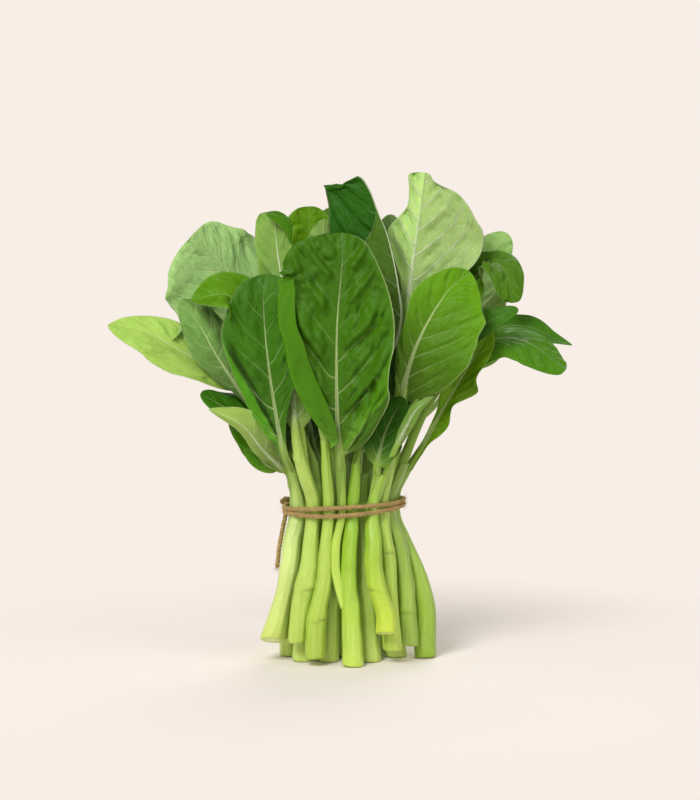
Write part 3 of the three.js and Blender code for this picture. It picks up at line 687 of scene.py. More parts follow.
def leaf(stalk, petiole, path, face, blade, half, widest, ends, fold, curl, ruffle, **more):
    """One row of the table. Lengths are millimetres, angles degrees, and places on the blade are
    shares: u along it, from its foot to the tip, and q from the midrib to a margin. Side -1 is
    left and 1 right, as seen from the upper side with the tip up.

    stalk, petiole: the stalk that it springs from, and its leaf stalk's radius
    path, face: points of the midrib above the stalk, and where the upper side looks
    blade: the share of the path at which the blade starts
    half, widest, ends: half widths left and right, the u of the widest place, and how pointed
        foot and tip are
    fold, curl: how steeply the halves rise at foot and tip, and how far the left and the right
        one bend on their way out
    ruffle: height and number of the margin's waves, and where they start
    side: how far the leaf stands off the middle of its stalk
    lobed: how much the margin wanders, 1 is the common amount
    face_tip: where the upper side looks at the tip, if it turns
    lean: how far a side's end is drawn forward, for each millimetre from the midrib
    widths: for a side, pairs of u and half width, and blunt, the u from which both round off
    creases: folds by an angle, from q = at[0] to at[1] over the u of span and width wide in q,
    with the last number, a factor on the colour past them that paints shade below 1 and
    light above 1; a crease with an angle of 0 only paints
    flap: a margin that turns over by an angle, from u = start to end, along a bend of pairs of
        u and q"""
    row = dict(stalk=stalk, petiole=petiole, path=path, face=face, blade=blade, half=half,
               widest=widest, ends=ends, fold=fold, curl=curl, ruffle=ruffle, side=(0, 0))
    return {**row, **more}


# The two large leaves at the back have one outline.
REAR_WIDTHS = {
    -1: [(0, 5), (0.1, 16), (0.3, 25), (0.58, 30), (0.8, 26), (0.9, 21), (1, 17)],
    1: [(0, 5), (0.1, 16), (0.3, 24), (0.58, 28), (0.8, 24), (0.9, 19), (1, 15)],
}
SHAPES = {
    "front_centre": leaf(
        stalk=5, petiole=2.5, path=[[-4, -42, 152], [-4, -51, 201], [-1, -52, 240], [-1, -49, 257]],
        face=[0, -1, 0.1], blade=0.07, half=[41, 33], widest=0.6, ends=[0.7, 0.34], fold=[14, 2],
        curl=[6, 22], ruffle=[1.2, 2.5, 0.4], lobed=0.8,
        flap=Flap(
            side=-1, angle=166, start=0.03, end=0.80,
            bend=[
                (0, 0.3), (0.06, 0.34), (0.15, 0.444), (0.28, 0.545), (0.425, 0.63), (0.533, 0.678),
                (0.584, 0.706), (0.743, 0.734), (0.8, 0.75), (1, 0.8),
            ],
        ),
        widths={
            -1: [
                (0, 1), (0.06, 7.5), (0.15, 21), (0.28, 35.5), (0.425, 43.3), (0.533, 45),
                (0.584, 45.4), (0.743, 45.3), (0.778, 45.2), (0.79, 40), (0.803, 36), (0.847, 34.8),
                (0.926, 30.5), (1, 23),
            ],
            1: [
                (0, 1), (0.015, 4), (0.03, 7.5), (0.06, 13.5), (0.096, 18.5), (0.188, 27.5),
                (0.294, 34), (0.425, 33), (0.533, 34.2), (0.664, 32.5), (0.794, 27.5), (0.88, 20.5),
                (0.94, 15), (1, 9),
            ],
            "blunt": 0.94,
        },
        # These creases paint light on the strip past the first one and paint shade past the second.
        creases=[
            Crease(side=1, at=(0.12, 0.96), span=(0.02, 0.50), angle=22, width=0.05, tint=1.5),
            Crease(side=1, at=(0.40, 1.24), span=(0.02, 0.50), angle=-44, width=0.06, tint=0.55),
        ],
    ),
    "front_left": leaf(
        stalk=2, petiole=2.6, path=[[-37, -30, 133], [-44, -38, 178], [-47, -40, 216], [-45, -37, 233]],
        face=[-0.15, -1, 0.1], blade=0.14, half=[29, 24], widest=0.52, ends=[0.8, 0.4], fold=[22, 4],
        curl=[10, 12], ruffle=[1.5, 2, 1],
        widths={
            -1: [
                (0, 1), (0.05, 2.3), (0.1, 5.4), (0.2, 10.7), (0.3, 16), (0.4, 19.4), (0.5, 22),
                (0.6, 23.6), (0.7, 24.4), (0.8, 21.2), (0.9, 15.5), (1, 7.5),
            ],
            1: [
                (0, 1), (0.1, 2.5), (0.2, 5.5), (0.3, 10), (0.4, 16), (0.5, 21), (0.6, 24), (0.8, 24),
                (0.9, 21), (1, 20),
            ],
        },
        # Painted shade in the wedge past the first crease, where the curled strip shades the blade, and
        # painted light on the strip past the second.
        creases=[
            Crease(side=-1, at=(0.14, 0.72), span=(0.10, 0.62), angle=24, width=0.07, tint=0.40),
            Crease(side=-1, at=(0.34, 0.92), span=(0.10, 0.62), angle=-40, width=0.07, tint=4.3),
        ],
    ),
    "front_right": leaf(
        stalk=8, petiole=3,
        path=[[31, -25, 138], [36, -35, 170], [45, -41, 197], [60, -40, 222], [74, -34, 234]],
        face=[0.12, -1, 0.12], blade=0.26, half=[13, 31], widest=0.54, ends=[0.5, 0.42], fold=[10, 4],
        curl=[10, 14], ruffle=[1.5, 2.2, 2],
        widths={
            -1: [(0, 1), (0.1, 3.5), (0.3, 9), (0.5, 12.5), (0.65, 16), (0.8, 14), (0.9, 9), (1, 5)],
            1: [
                (0, 2), (0.05, 11), (0.1, 17), (0.2, 24), (0.3, 28), (0.5, 33), (0.65, 30.5), (0.8, 27),
                (0.9, 20), (1, 13),
            ],
        },
    ),
    "tall_right": leaf(
        stalk=17, petiole=3.4,
        path=[[27, -4, 134], [35, -2, 176], [39, 4, 217], [43, 6, 250], [49, 8, 293]], face=[0.1, 1, 0],
        blade=0.5, half=[36, 15], widest=0.45, ends=[0.6, 0.32], fold=[6, 4], curl=[-14, 8],
        ruffle=[1.8, 2.5, 0],
        widths={
            1: [
                (0, 1), (0.1, 2.5), (0.2, 3.5), (0.3, 7), (0.45, 14), (0.547, 18), (0.62, 16),
                (0.67, 12.5), (0.75, 8), (0.87, 8), (0.95, 9.5), (1, 11),
            ],
            -1: [
                (0, 2), (0.15, 16), (0.34, 32), (0.45, 38), (0.57, 40), (0.62, 39.6), (0.67, 38.4),
                (0.735, 34), (0.853, 25.5), (0.9, 19), (0.93, 10), (0.95, 6), (1, 4),
            ],
            "blunt": 0.96,
        },
        # This crease doesn't fold: it only paints one half of the blade lighter, as painted light.
        creases=[
            Crease(side=1, at=(-0.1, -0.1), span=(0, 1.1), angle=0, width=0.1, tint=1.32),
        ],
    ),
    "top_hood": leaf(
        stalk=6, petiole=3,
        path=[
            [18, -20, 159], [33, -16, 200], [32, -14, 226], [26, -12, 254], [20.5, -11, 268],
            [16, -10, 280], [11.5, -9, 288], [8, -9, 290.5],
        ], face=[-1, 0, 0.15], blade=0.3, half=[39, 19], widest=0.66, ends=[0.6, 0.2], fold=[62, 54],
        curl=[0, 6], ruffle=[1, 2, 0], lean={-1: 0.55},
        widths={
            1: [(0, 1), (0.2, 14), (0.45, 19), (0.66, 18), (0.74, 8), (0.80, 1), (0.9, 0), (1, 0)],
            -1: [(0, 1), (0.3, 26), (0.6, 38), (0.75, 35), (0.8, 32), (0.87, 29), (0.93, 25), (1, 22)],
            "blunt": 0.96,
        },
    ),
    "folded_left": leaf(
        stalk=4, petiole=2.8, path=[[-19, -24, 164], [-32, -12, 207], [-39, -6, 240], [-42, -4, 270]],
        face=[0.1, 1, 0.1], blade=0.4, half=[25, 14], widest=0.58, ends=[0.7, 0.16], fold=[8, 4],
        curl=[0, 10], ruffle=[1, 2, 1],
        widths={
            -1: [(0, 1), (0.3, 8), (0.7, 9), (0.8, 12), (0.9, 20), (1, 26)],
        },
        creases=[
            Crease(side=-1, at=(0.85, -0.05), span=(0.74, 1.10), angle=-155, width=0.12, tint=1),
        ],
    ),
    "inner_pale": leaf(
        stalk=12, petiole=2.8, path=[[-12, 0, 170], [-14, 12, 220], [-12, 15, 265]], face=[0, 1, 0.1],
        blade=0.3, half=[12, 14], widest=0.6, ends=[0.7, 0.5], fold=[10, 10], curl=[20, 20],
        ruffle=[1.5, 3, 0],
    ),
    "inner_round": leaf(
        stalk=20, petiole=3, path=[[-16, 22, 181], [-20, 31, 233], [-22, 33, 273]], face=[0, -1, 0.2],
        blade=0.35, half=[22, 20], widest=0.6, ends=[0.7, 0.4], fold=[10, 8], curl=[16, 16],
        ruffle=[2, 3, 0],
    ),
    "big_left": leaf(
        stalk=15, petiole=3.4, path=[[-40, 10, 182], [-60, 11, 220], [-76, 7, 240], [-90, 2, 257]],
        face=[0.1, -0.8, 0.6], blade=0.5, half=[53, 31], widest=0.46, ends=[0.4, 0.34], fold=[8, 4],
        curl=[-14, -12], ruffle=[2.5, 2.5, 1], lobed=2,
    ),
    "bright_left": leaf(
        stalk=11, petiole=2.4,
        path=[[-38, -20, 169], [-54, -25, 202], [-68, -29, 220], [-90, -33, 217]],
        face=[0.1, -0.7, 0.7], blade=0.4, half=[24, 19], widest=0.5, ends=[1.5, 0.7], fold=[18, 18],
        curl=[10, 10], ruffle=[1, 2, 1], side=(2, -1.8),
        widths={
            -1: [
                (0, 1), (0.2, 2), (0.34, 4), (0.48, 5), (0.54, 12), (0.6, 20.5), (0.67, 22), (0.8, 17),
                (0.9, 11), (1, 5),
            ],
        },
    ),
    "far_left": leaf(
        stalk=14, petiole=2.6,
        path=[[-50, -10, 149], [-80, -15, 175], [-103, -18, 190], [-118, -19, 198], [-140, -22, 202]],
        face=[0, -0.75, 0.65], blade=0.4, half=[18, 14], widest=0.58, ends=[0.6, 0.7], fold=[14, 6],
        curl=[-10, -10], ruffle=[1.2, 2, 0], side=(-1, 2.8),
    ),
    "blue_left": leaf(
        stalk=14, petiole=2.4,
        path=[[-44, -12, 137], [-62, -20, 163], [-76, -23, 185], [-85, -22, 201], [-97, -18, 217]],
        face=[-0.3, -0.8, 0.5], blade=0.3, half=[12, 14], widest=0.6, ends=[1.7, 0.6], fold=[6, 4],
        curl=[2, 2], ruffle=[1, 2, 0], side=(-1.4, -2.7),
        # This crease doesn't fold: it only paints shade on the half beyond the midrib that lies next to
        # the leaf beside it.
        creases=[
            Crease(side=1, at=(0.05, 0.25), span=(-0.1, 1.1), angle=0, width=0.35, tint=0.6),
        ],
    ),
    "low_left": leaf(
        stalk=11, petiole=2, path=[[-38, -14, 128], [-50, -20, 138], [-66, -24, 150], [-85, -27, 162]],
        face=[0, -0.5, 0.85], blade=0.35, half=[9, 19], widest=0.52, ends=[0.8, 0.5], fold=[10, 0],
        curl=[-20, -20], ruffle=[2, 2, 0], side=(-2.2, 1.4),
    ),
    "under_left": leaf(
        stalk=1, petiole=2.4, path=[[-47, -23, 127], [-60, -36, 144], [-79, -43, 154]],
        face=[0.1, 0.9, 0.4], blade=0.05, half=[12, 6], widest=0.5, ends=[0.42, 0.85], fold=[12, 4],
        curl=[10, 10], ruffle=[1.2, 2, 0], side=(0, -1.6),
    ),
    "droop_left": leaf(
        stalk=1, petiole=1.4, path=[[-47, -11, 118], [-56, -14, 131], [-69, -15, 146]],
        face=[-0.2, -0.8, 0.4], blade=0.15, half=[7, 10], widest=0.5, ends=[0.6, 0.7], fold=[8, 4],
        curl=[10, 10], ruffle=[1, 2, 0], side=(-1.4, 2.7),
    ),
    "clasping": leaf(
        stalk=3, petiole=3.2, path=[[-29, -31, 148], [-30, -31, 176], [-31, -27, 203]],
        face=[0.3, 0.9, 0], blade=0.1, half=[8, 8], widest=0.5, ends=[0.6, 0.6], fold=[24, 8],
        curl=[24, 24], ruffle=[1, 2, 0],
        widths={
            -1: [(0, 3), (0.08, 8), (0.2, 10), (0.45, 8), (1, 3)],
            1: [(0, 3), (0.08, 9), (0.2, 12), (0.45, 9), (1, 3)],
        },
    ),
    "dark_right": leaf(
        stalk=7, petiole=2.5, path=[[20, -33, 122], [25, -36, 141], [35, -40, 161]],
        face=[-0.3, -0.9, 0.2], blade=0.16, half=[12, 13], widest=0.5, ends=[0.5, 0.6], fold=[10, 4],
        curl=[-20, 10], ruffle=[1, 2, 0], side=(-2.4, -0.6),
    ),
    "narrow_right": leaf(
        stalk=7, petiole=2.2, path=[[30, -41, 130], [38, -49, 147], [43, -50, 155], [52, -51, 162]],
        face=[0.4, 0.9, 0.3], blade=0.4, half=[3, 3.6], widest=0.5, ends=[0.7, 0.7], fold=[20, 10],
        curl=[10, 10], ruffle=[0.6, 2, 0], side=(2.6, 0.2),
    ),
    "low_right": leaf(
        stalk=10, petiole=2.8,
        path=[[48, -8, 130], [57, -13, 147], [66, -15, 163], [77, -15, 181], [88, -14, 199]],
        face=[-0.3, -0.9, 0.3], blade=0.15, half=[9, 13], widest=0.7, ends=[1.3, 0.5], fold=[20, 10],
        curl=[20, -20], ruffle=[2, 3, 0], lobed=1.5,
        widths={
            1: [
                (0, 1), (0.11, 1.6), (0.22, 5.5), (0.3, 7.5), (0.37, 5.5), (0.42, 4), (0.5, 8),
                (0.56, 12), (0.6, 13.5), (0.65, 9.5), (0.75, 8), (0.86, 7.5), (0.95, 6), (1, 4),
            ],
        },
    ),
    "blue_right": leaf(
        stalk=22, petiole=2.6, path=[[50, 24, 181], [72, 30, 216], [87, 32, 239], [101, 32, 256]],
        face=[0.2, 1, 0.2], blade=0.5, half=[16, 15], widest=0.6, ends=[0.7, 0.5], fold=[14, 8],
        curl=[10, 10], ruffle=[1.5, 2, 0], side=(-1.5, 2),
    ),
    "hooked_right": leaf(
        stalk=18, petiole=2.6,
        path=[[44, 2, 165], [66, 12, 206], [79, 14, 228], [90, 9, 238], [98, 0, 232], [101, -7, 215]],
        face=[-0.5, 0.5, 0.7], blade=0.45, half=[12, 16], widest=0.55, ends=[0.7, 0.3], fold=[16, 0],
        curl=[10, 10], ruffle=[1.5, 2, 0], face_tip=[0.3, -0.6, 0.6], side=(-1, 1.5),
    ),
    "small_right": leaf(
        stalk=13, petiole=2, path=[[38, -12, 150], [60, -20, 182], [84, -26, 203], [103, -27, 212]],
        face=[0, -0.8, 0.5], blade=0.5, half=[9, 8], widest=0.5, ends=[0.6, 0.5], fold=[14, 8],
        curl=[10, 10], ruffle=[1, 2, 0], side=(0, 2.8),
    ),
    "thin_right": leaf(
        stalk=22, petiole=2.2,
        path=[[58, 14, 168], [88, 15, 196], [110, 11, 200], [125, 8, 194], [138, 5, 189]],
        face=[0, -0.6, 0.8], blade=0.45, half=[9, 13], widest=0.5, ends=[0.6, 0.9], fold=[14, 4],
        curl=[10, 10], ruffle=[1, 2, 0], side=(2, -2.4),
    ),
    "far_right": leaf(
        stalk=9, petiole=4, path=[[54, -5, 159], [84, -9, 190], [108, -12, 192], [132, -17, 175]],
        face=[0.1, -0.5, 0.85], blade=0.4, half=[21, 15], widest=0.58, ends=[0.6, 0.4], fold=[4, -10],
        curl=[-14, -30], ruffle=[1, 2, 0],
    ),
    "back_grey": leaf(
        stalk=21, petiole=2.8, path=[[14, 22, 171], [24, 30, 217], [29, 32, 268]], face=[0, -1, 0.2],
        blade=0.08, half=[15, 15], widest=0.6, ends=[0.5, 0.5], fold=[10, 4], curl=[10, 10],
        ruffle=[1, 2, 0],
    ),
    "rear_left": leaf(
        stalk=23, petiole=2.6, path=[[-21, 32, 172], [-34, 50, 218], [-42, 56, 259]],
        face=[-0.2, 1, 0.1], blade=0.06, half=[30, 28], widest=0.58, ends=[0.5, 0.4], fold=[12, 4],
        curl=[10, 10], ruffle=[2, 2.5, 0], widths=REAR_WIDTHS, side=(-2.4, 0.6),
    ),
    "rear_right": leaf(
        stalk=24, petiole=2.4, path=[[15, 44, 167], [28, 62, 213], [36, 66, 254]], face=[0.1, 1, 0.1],
        blade=0.06, half=[28, 30], widest=0.58, ends=[0.5, 0.4], fold=[12, 4], curl=[10, 10],
        ruffle=[2, 2.5, 1], widths=REAR_WIDTHS, side=(-1.6, 2.4),
    ),
    "rear_middle": leaf(
        stalk=16, petiole=3, path=[[-3, 34, 182], [-4, 50, 233], [-4, 54, 273]], face=[0, -1, 0.3],
        blade=0.3, half=[24, 24], widest=0.6, ends=[0.5, 0.4], fold=[12, 4], curl=[12, 12],
        ruffle=[2, 2.5, 2],
    ),
    "back_right": leaf(
        stalk=24, petiole=2.4, path=[[46, 30, 162], [74, 44, 203], [98, 48, 235]], face=[0.2, 0.8, 0.5],
        blade=0.4, half=[20, 18], widest=0.58, ends=[0.7, 0.5], fold=[12, 4], curl=[-10, -10],
        ruffle=[2, 2.5, 0], side=(3, 0),
    ),
    "back_left": leaf(
        stalk=19, petiole=2.6, path=[[-42, 26, 172], [-64, 40, 212], [-82, 46, 247]],
        face=[-0.3, 0.8, 0.3], blade=0.4, half=[24, 22], widest=0.58, ends=[0.7, 0.4], fold=[12, 4],
        curl=[-10, -10], ruffle=[2, 2.5, 1], side=(1, 2.2),
    ),
    "spread_right": leaf(
        stalk=22, petiole=2, path=[[52, 22, 147], [80, 36, 174], [108, 44, 190]], face=[0, 0.5, 0.87],
        blade=0.35, half=[14, 14], widest=0.58, ends=[0.7, 0.6], fold=[12, 4], curl=[-14, -14],
        ruffle=[1.5, 2.5, 0], side=(3.4, 2.2),
    ),
    "spread_left": leaf(
        stalk=19, petiole=2.2, path=[[-50, 18, 147], [-78, 32, 174], [-106, 38, 192]],
        face=[0, 0.5, 0.87], blade=0.35, half=[14, 15], widest=0.58, ends=[0.7, 0.6], fold=[12, 4],
        curl=[-14, -14], ruffle=[1.5, 2.5, 1], side=(-2.4, -2),
    ),
    "spread_back": leaf(
        stalk=23, petiole=2.2, path=[[10, 48, 143], [16, 70, 170], [20, 92, 186]], face=[0, -0.5, 0.87],
        blade=0.3, half=[15, 16], widest=0.58, ends=[0.7, 0.6], fold=[12, 4], curl=[-14, -14],
        ruffle=[1.5, 2.5, 2], side=(2.4, 2),
    ),
}


def heart_leaf(stalk, path, half):
    """A small leaf deep in the heart, which closes the gaps between the leaf stalks; its dark colour is
    painted shade.
    """
    return leaf(stalk, 2.2, path, face=[0, -1, 0], blade=0.02, half=half, widest=0.5,
                ends=[0.4, 0.5], fold=[14, 6], curl=[10, 10], ruffle=[1.5, 2, 0])


HEART = {
    "heart_left": heart_leaf(15, [[-20, -2, 140], [-25, 0, 165], [-27, 2, 188]], [16, 16]),
    "heart_far_left": heart_leaf(14, [[-32, -3, 138], [-37, -1, 158], [-40, 0, 176]], [11, 12]),
    "heart_right": heart_leaf(17, [[18, -3, 140], [24, -1, 165], [28, 2, 190]], [18, 18]),
    "heart_far_right": heart_leaf(22, [[29, 6, 142], [38, 6, 165], [44, 6, 184]], [12, 12]),
}
print("leaves:", len(SHAPES), "and", len(HEART))

# %% [markdown]
# ## The stalks
# A cut stalk isn't a rod. It has shallow flutes, is a little oval, swells where a leaf once
# sat, and keeps a scar there. The surface is the ring radius as a function of the angle round
# it and the height: the solid's radius, times flutes that slowly turn, plus a ridge at each
# joint. At the top it narrows into its leaf's own stalk, or closes over as a dome where
# several leaves share it or its leaf stands to one side. At the foot the knife left a flat or
# slanting face.

# %% Stalk table: colours and marks
def stalk_look(foot, middle, top, joints=(), swell=((0, 1),), slant=None):
    """One row: colours at the foot, the middle and the top, joints as pairs of a height and the
    angle that they face, swell as pairs of a height and a factor on the radius, and slant as the
    slope of the cut and the angle that it rises to. With none, the slant is drawn at random."""
    return dict(tones=[foot, middle, top], joints=joints, swell=swell, slant=slant)


STALK_LOOKS = {
    1: stalk_look((206, 226, 124), (176, 208, 96), (128, 166, 62), joints=[(103, 200)],
                  swell=[(0, 1.2), (90, 1.05)]),
    2: stalk_look((204, 222, 112), (206, 226, 136), (150, 182, 78), joints=[(84, 120)],
                  swell=[(0, 1.45), (15, 1.4), (30, 1.22), (45, 1.08), (58, 1.22), (72, 1.3),
                         (86, 1.12), (95, 1)], slant=(0.55, -100)),
    3: stalk_look((182, 206, 88), (176, 204, 88), (168, 196, 88), joints=[(46, -40), (121.5, 180)],
                  swell=[(0, 1.0), (20, 1.1), (34, 1.15), (48, 1.28), (62, 1.12), (80, 1)]),
    4: stalk_look((168, 196, 66), (178, 206, 84), (146, 184, 60), joints=[(28, -50)],
                  swell=[(0, 1.0), (45, 1.1), (60, 1.04), (80, 1)]),
    5: stalk_look((190, 216, 90), (176, 206, 74), (120, 156, 58),
                  swell=[(30, 1.1), (50, 1.4), (84, 1.4), (100, 1.1)]),
    6: stalk_look((192, 220, 90), (152, 192, 44), (124, 168, 38), joints=[(60, 90)],
                  swell=[(0, 1.0), (60, 1), (80, 1.1), (88, 1)]),
    7: stalk_look((200, 222, 70), (156, 192, 50), (152, 190, 70), joints=[(47, -150)],
                  swell=[(0, 1.04), (30, 1.08), (58, 1.12), (74, 1.22), (88, 1)],
                  slant=(0.30, -90)),
    8: stalk_look((190, 216, 84), (168, 198, 78), (146, 182, 74), joints=[(67, -70)],
                  swell=[(0, 1.04), (60, 1.06), (90, 1)]),
    9: stalk_look((156, 186, 74), (146, 178, 66), (124, 158, 58), joints=[(30, -90)]),
    10: stalk_look((148, 182, 56), (152, 186, 62), (132, 168, 60),
                   swell=[(0, 1.08), (55, 1.1), (80, 1.0)]),
}
# The stalks behind the front ones share one row.
DEEP = stalk_look((200, 224, 110), (180, 210, 92), (140, 176, 70), joints=[(52, 60)],
                  swell=[(0, 1.18), (40, 1.16), (70, 1.12), (90, 1.04), (110, 1.15)])
SPRINGING = {}
for key, row in SHAPES.items():
    SPRINGING.setdefault(row["stalk"], []).append(key)
print("most leaves from one stalk:", max(len(keys) for keys in SPRINGING.values()))

# %% [markdown]
# ## A stalk's surface
# Three things lie over each other: the stalk's line, bent a little more by slow noise, a radius
# for each height, and small changes with the angle. Each is one array, and they come together
# on a grid of height and angle. A lathe's turning would make the stalk round and straight.

# %% Stalk surface
BEND = 0.8  # millimetres that slow noise bends a stalk
ROUND_POINTS = 42
RING_STEP = 1.36
FLUTE = 0.030
OVAL = 0.050
LUMPS = 0.28
NECK = 0.62  # what is left of the radius at a top that isn't drawn into one leaf's stalk


def graded(colours, at):
    """Colours given at the foot, the middle and the top, by straight lines between."""
    table = np.stack([srgb(*c) for c in colours])
    return np.stack([np.interp(at, [0, 0.5, 1], table[:, n]) for n in range(3)], -1)


def joint_rings(angle, z, joints):
    """What each joint adds to the radius, and how dark its scar is: a ridge exp(-(h/3)^2) over a
    crease just below it, both strongest on the side where the leaf sat."""
    more, mark = 0 * z + 0 * angle, 0 * z + 0 * angle
    for joint, toward in joints:
        facing = np.cos(angle - math.radians(toward))
        near = np.exp(2 * (facing - 1))
        above = z - joint - 1.6 * facing * near
        ridge = 0.10 * np.exp(-((above / 2.4) ** 2)) + 0.55 * near * np.exp(-((above / 3.0) ** 2))
        more = more + ridge - (0.06 + 0.22 * near) * np.exp(-(((above + 2.4) / 0.9) ** 2))
        mark = mark + (0.06 + 0.50 * near) * np.exp(-(((above + 2.2) / 0.6) ** 2))
    return more, np.clip(mark, 0, 0.8)


def stalk_shape(number):
    """Radius at angle a and height z: R(z) (1 + 0.03 cos(k a + turn) + 0.05 cos(2 a + turn))
    plus slow noise and the joints. Returns points, colours and what the skin reads: length round
    the stalk, height and how dark a scar is."""
    rng = np.random.default_rng(400 + number)
    looks = STALK_LOOKS.get(number, DEEP)
    middles, radii = LINES[number]
    foot, top = middles[0, 2], middles[-1, 2]
    z = np.linspace(foot, top, int((top - foot) / RING_STEP))
    share = ((z - foot) / (top - foot))[:, None]
    x, y = (smooth_between(middles[:, 2], middles[:, n], z) for n in (0, 1))
    x = x + BEND * noise(z / 24, 3, 30 + number)
    y = y + BEND * noise(z / 24, 10.5, 30 + number)
    radius = np.interp(z, middles[:, 2], radii) * np.interp(z, *np.array(looks["swell"]).T)
    leaves = SPRINGING.get(number, [])
    if len(leaves) == 1 and not any(SHAPES[leaves[0]]["side"]):
        neck = SHAPES[leaves[0]]["petiole"] * 1.03
        radius = mix(radius, neck, ease(top - 26, top - 3, z) * (radius > neck))
    else:
        radius = radius * mix(1, NECK, ease(top - 24, top, z))
    x, y, z, radius = (values[:, None] for values in (x, y, z, radius))
    angle = np.linspace(0, 2 * np.pi, ROUND_POINTS, endpoint=False)[None, :]
    flutes, oval = rng.integers(6, 10), rng.uniform(0, 6)
    turning = 0.9 * share * rng.choice([-1, 1]) + rng.uniform(0, 6)
    size = 1 + FLUTE * np.cos(flutes * angle + turning) + OVAL * np.cos(2 * angle + oval + 1.2 * share)
    size = size * radius + LUMPS * noise(z / 9 + 0 * angle, 2 * np.cos(angle) + 7, 60 + number)
    more, mark = joint_rings(angle, z, looks["joints"])
    size = (size + more) * mix(0.965, 1, np.sqrt(np.clip((z - foot) / 3, 0, 1)))
    level_cut = rng.uniform(0.02, 0.10), rng.uniform(-180, 180)
    slope, toward = looks["slant"] or level_cut
    lean = 1 + np.cos(angle - math.radians(toward))
    raised = slope * radii[0] * lean * np.exp(-(((z - foot) / 9) ** 2))
    points = np.stack([x + size * np.cos(angle), y + size * np.sin(angle), z + raised], -1)
    cloud = 1 + 0.05 * noise(share * 9, angle, 90 + number)
    tone = graded(looks["tones"], share[:, 0])[:, None] * cloud[..., None]
    skin = np.stack([angle * radius, z + 0 * angle, mark], -1)
    return points, tone, skin


def closed_stalk(number):
    """The stalk's rings with its cut end before them and its rounded top after them. Rings of
    an end are the first or last ring drawn towards its middle; a dome also rises."""
    points, tone, skin = stalk_shape(number)
    centre = points[0].mean(0)
    inner = np.array([0.08, 0.3, 0.52, 0.7, 0.84, 0.94, 0.985])[:, None, None]
    foot = centre + (points[0] - centre) * inner
    flat = points[0, :, 2] - centre[2]
    foot[..., 2] = centre[2] + flat * inner[..., 0] + 0.12 * (1 - inner[..., 0] ** 2)
    crown = points[-1].mean(0)
    rise = np.linspace(0, np.pi / 2, 7)[1:-1][:, None, None]
    dome = crown + (points[-1] - crown) * np.cos(rise)
    height = 0.45 * np.linalg.norm((points[-1] - crown)[:, :2], axis=1).mean()
    dome[..., 2] += height * np.sin(rise[..., 0])
    cut_values = np.repeat(skin[:1], len(inner), 0)
    cut_values[..., 2] = inner[..., 0]
    points = np.concatenate([foot, points, dome])
    skin = np.concatenate([cut_values, skin, np.repeat(skin[-1:], len(dome), 0)])
    tone = np.concatenate([np.repeat(tone[:1], len(inner), 0), tone, np.repeat(tone[-1:], len(dome), 0)])
    colour = np.concatenate([tone, np.ones(tone.shape[:2] + (1,))], -1)
    name = stalk_name(number)
    piece = surface(f"grown_{name}", points * MM, {"tone": colour, "skin": skin}, [stalk_skin, cut_end])
    rings, around = points.shape[:2]
    slots = np.zeros(len(piece.data.polygons), np.int32)
    slots[: len(inner) * around] = 1
    slots[(rings - 1) * around : rings * around] = 1
    piece.data.polygons.foreach_set("material_index", slots)
    return settle_in(piece, "stalk", name)


stalks = [closed_stalk(number) for number in range(1, STALKS + 1)]
print("stalks:", len(stalks), "faces:", sum(len(piece.data.polygons) for piece in stalks))

# %% [markdown]
# ## Veins
# A mustard leaf is fed by one thick midrib. Side veins leave it in turn to the left and right,
# bend towards the tip and fork near the margin, and between them lies a net of ever finer
# veins. The veins could be thousands of small tubes, but they are thinner than a hair at the
# margin. So the mesh keeps three things at each point: a number that grows by 1 from side vein
# to side vein, the place on the blade, and the size of the midrib. One group turns them into
# masks for the midrib, the side veins and the net, and both sides of every leaf use it.

# %% Group: veins
veins, w, came, gone = new_group(
    "veins",
    {"Vein": "Vector", "Place": "Vector", "Form": "Vector"},
    {"Rib": "Float", "Veins": "Float", "Net": "Float", "Cells": "Float", "Margin": "Float"},
)
number, fork, clear = w.parts(came["Vein"])
from_rib, _, out_share = w.parts(came["Place"])
rib, spacing, stalky = w.parts(came["Form"])
off = w.size(w.minus(number, w.math("ROUND", number)))
blade_only = w.minus(1.0, stalky, clamp=True)

vein_width = w.steps(out_share, 0.0, 1.0, 0.34, 0.13)
gap = w.times(w.size(w.minus(off, fork)), spacing)
strand = w.minus(1.0, w.steps(w.math("DIVIDE", gap, vein_width), 0.7, 1.9))
minor_gap = w.times(w.minus(0.5, off), spacing)
minor = w.minus(1.0, w.steps(minor_gap, 0.08, 0.30))
minor = w.times(minor, w.steps(out_share, 0.12, 0.45, 0.0, 0.30))
side_veins = w.times(w.math("MAXIMUM", strand, minor), clear)
w.put(gone.inputs["Veins"], w.times(side_veins, blade_only))

rib_share = w.math("DIVIDE", w.size(from_rib), w.plus(rib, 0.05))
w.put(gone.inputs["Rib"], w.minus(1.0, w.steps(rib_share, 0.72, 1.06)))
w.put(gone.inputs["Margin"], w.times(w.steps(out_share, 0.965, 0.995), blade_only))
print("group:", veins.name)

# %% [markdown]
# ## The net between the veins
# The finest veins close into a net, and the tissue in each mesh of it stands up a little. Cells
# of a Voronoi pattern look like that: their edges are the net, and the distance to the edge is
# the rise. Two patterns of different size lie over each other. The place that they read is
# counted from vein to vein, so that the net follows the side veins, and noise bends it.

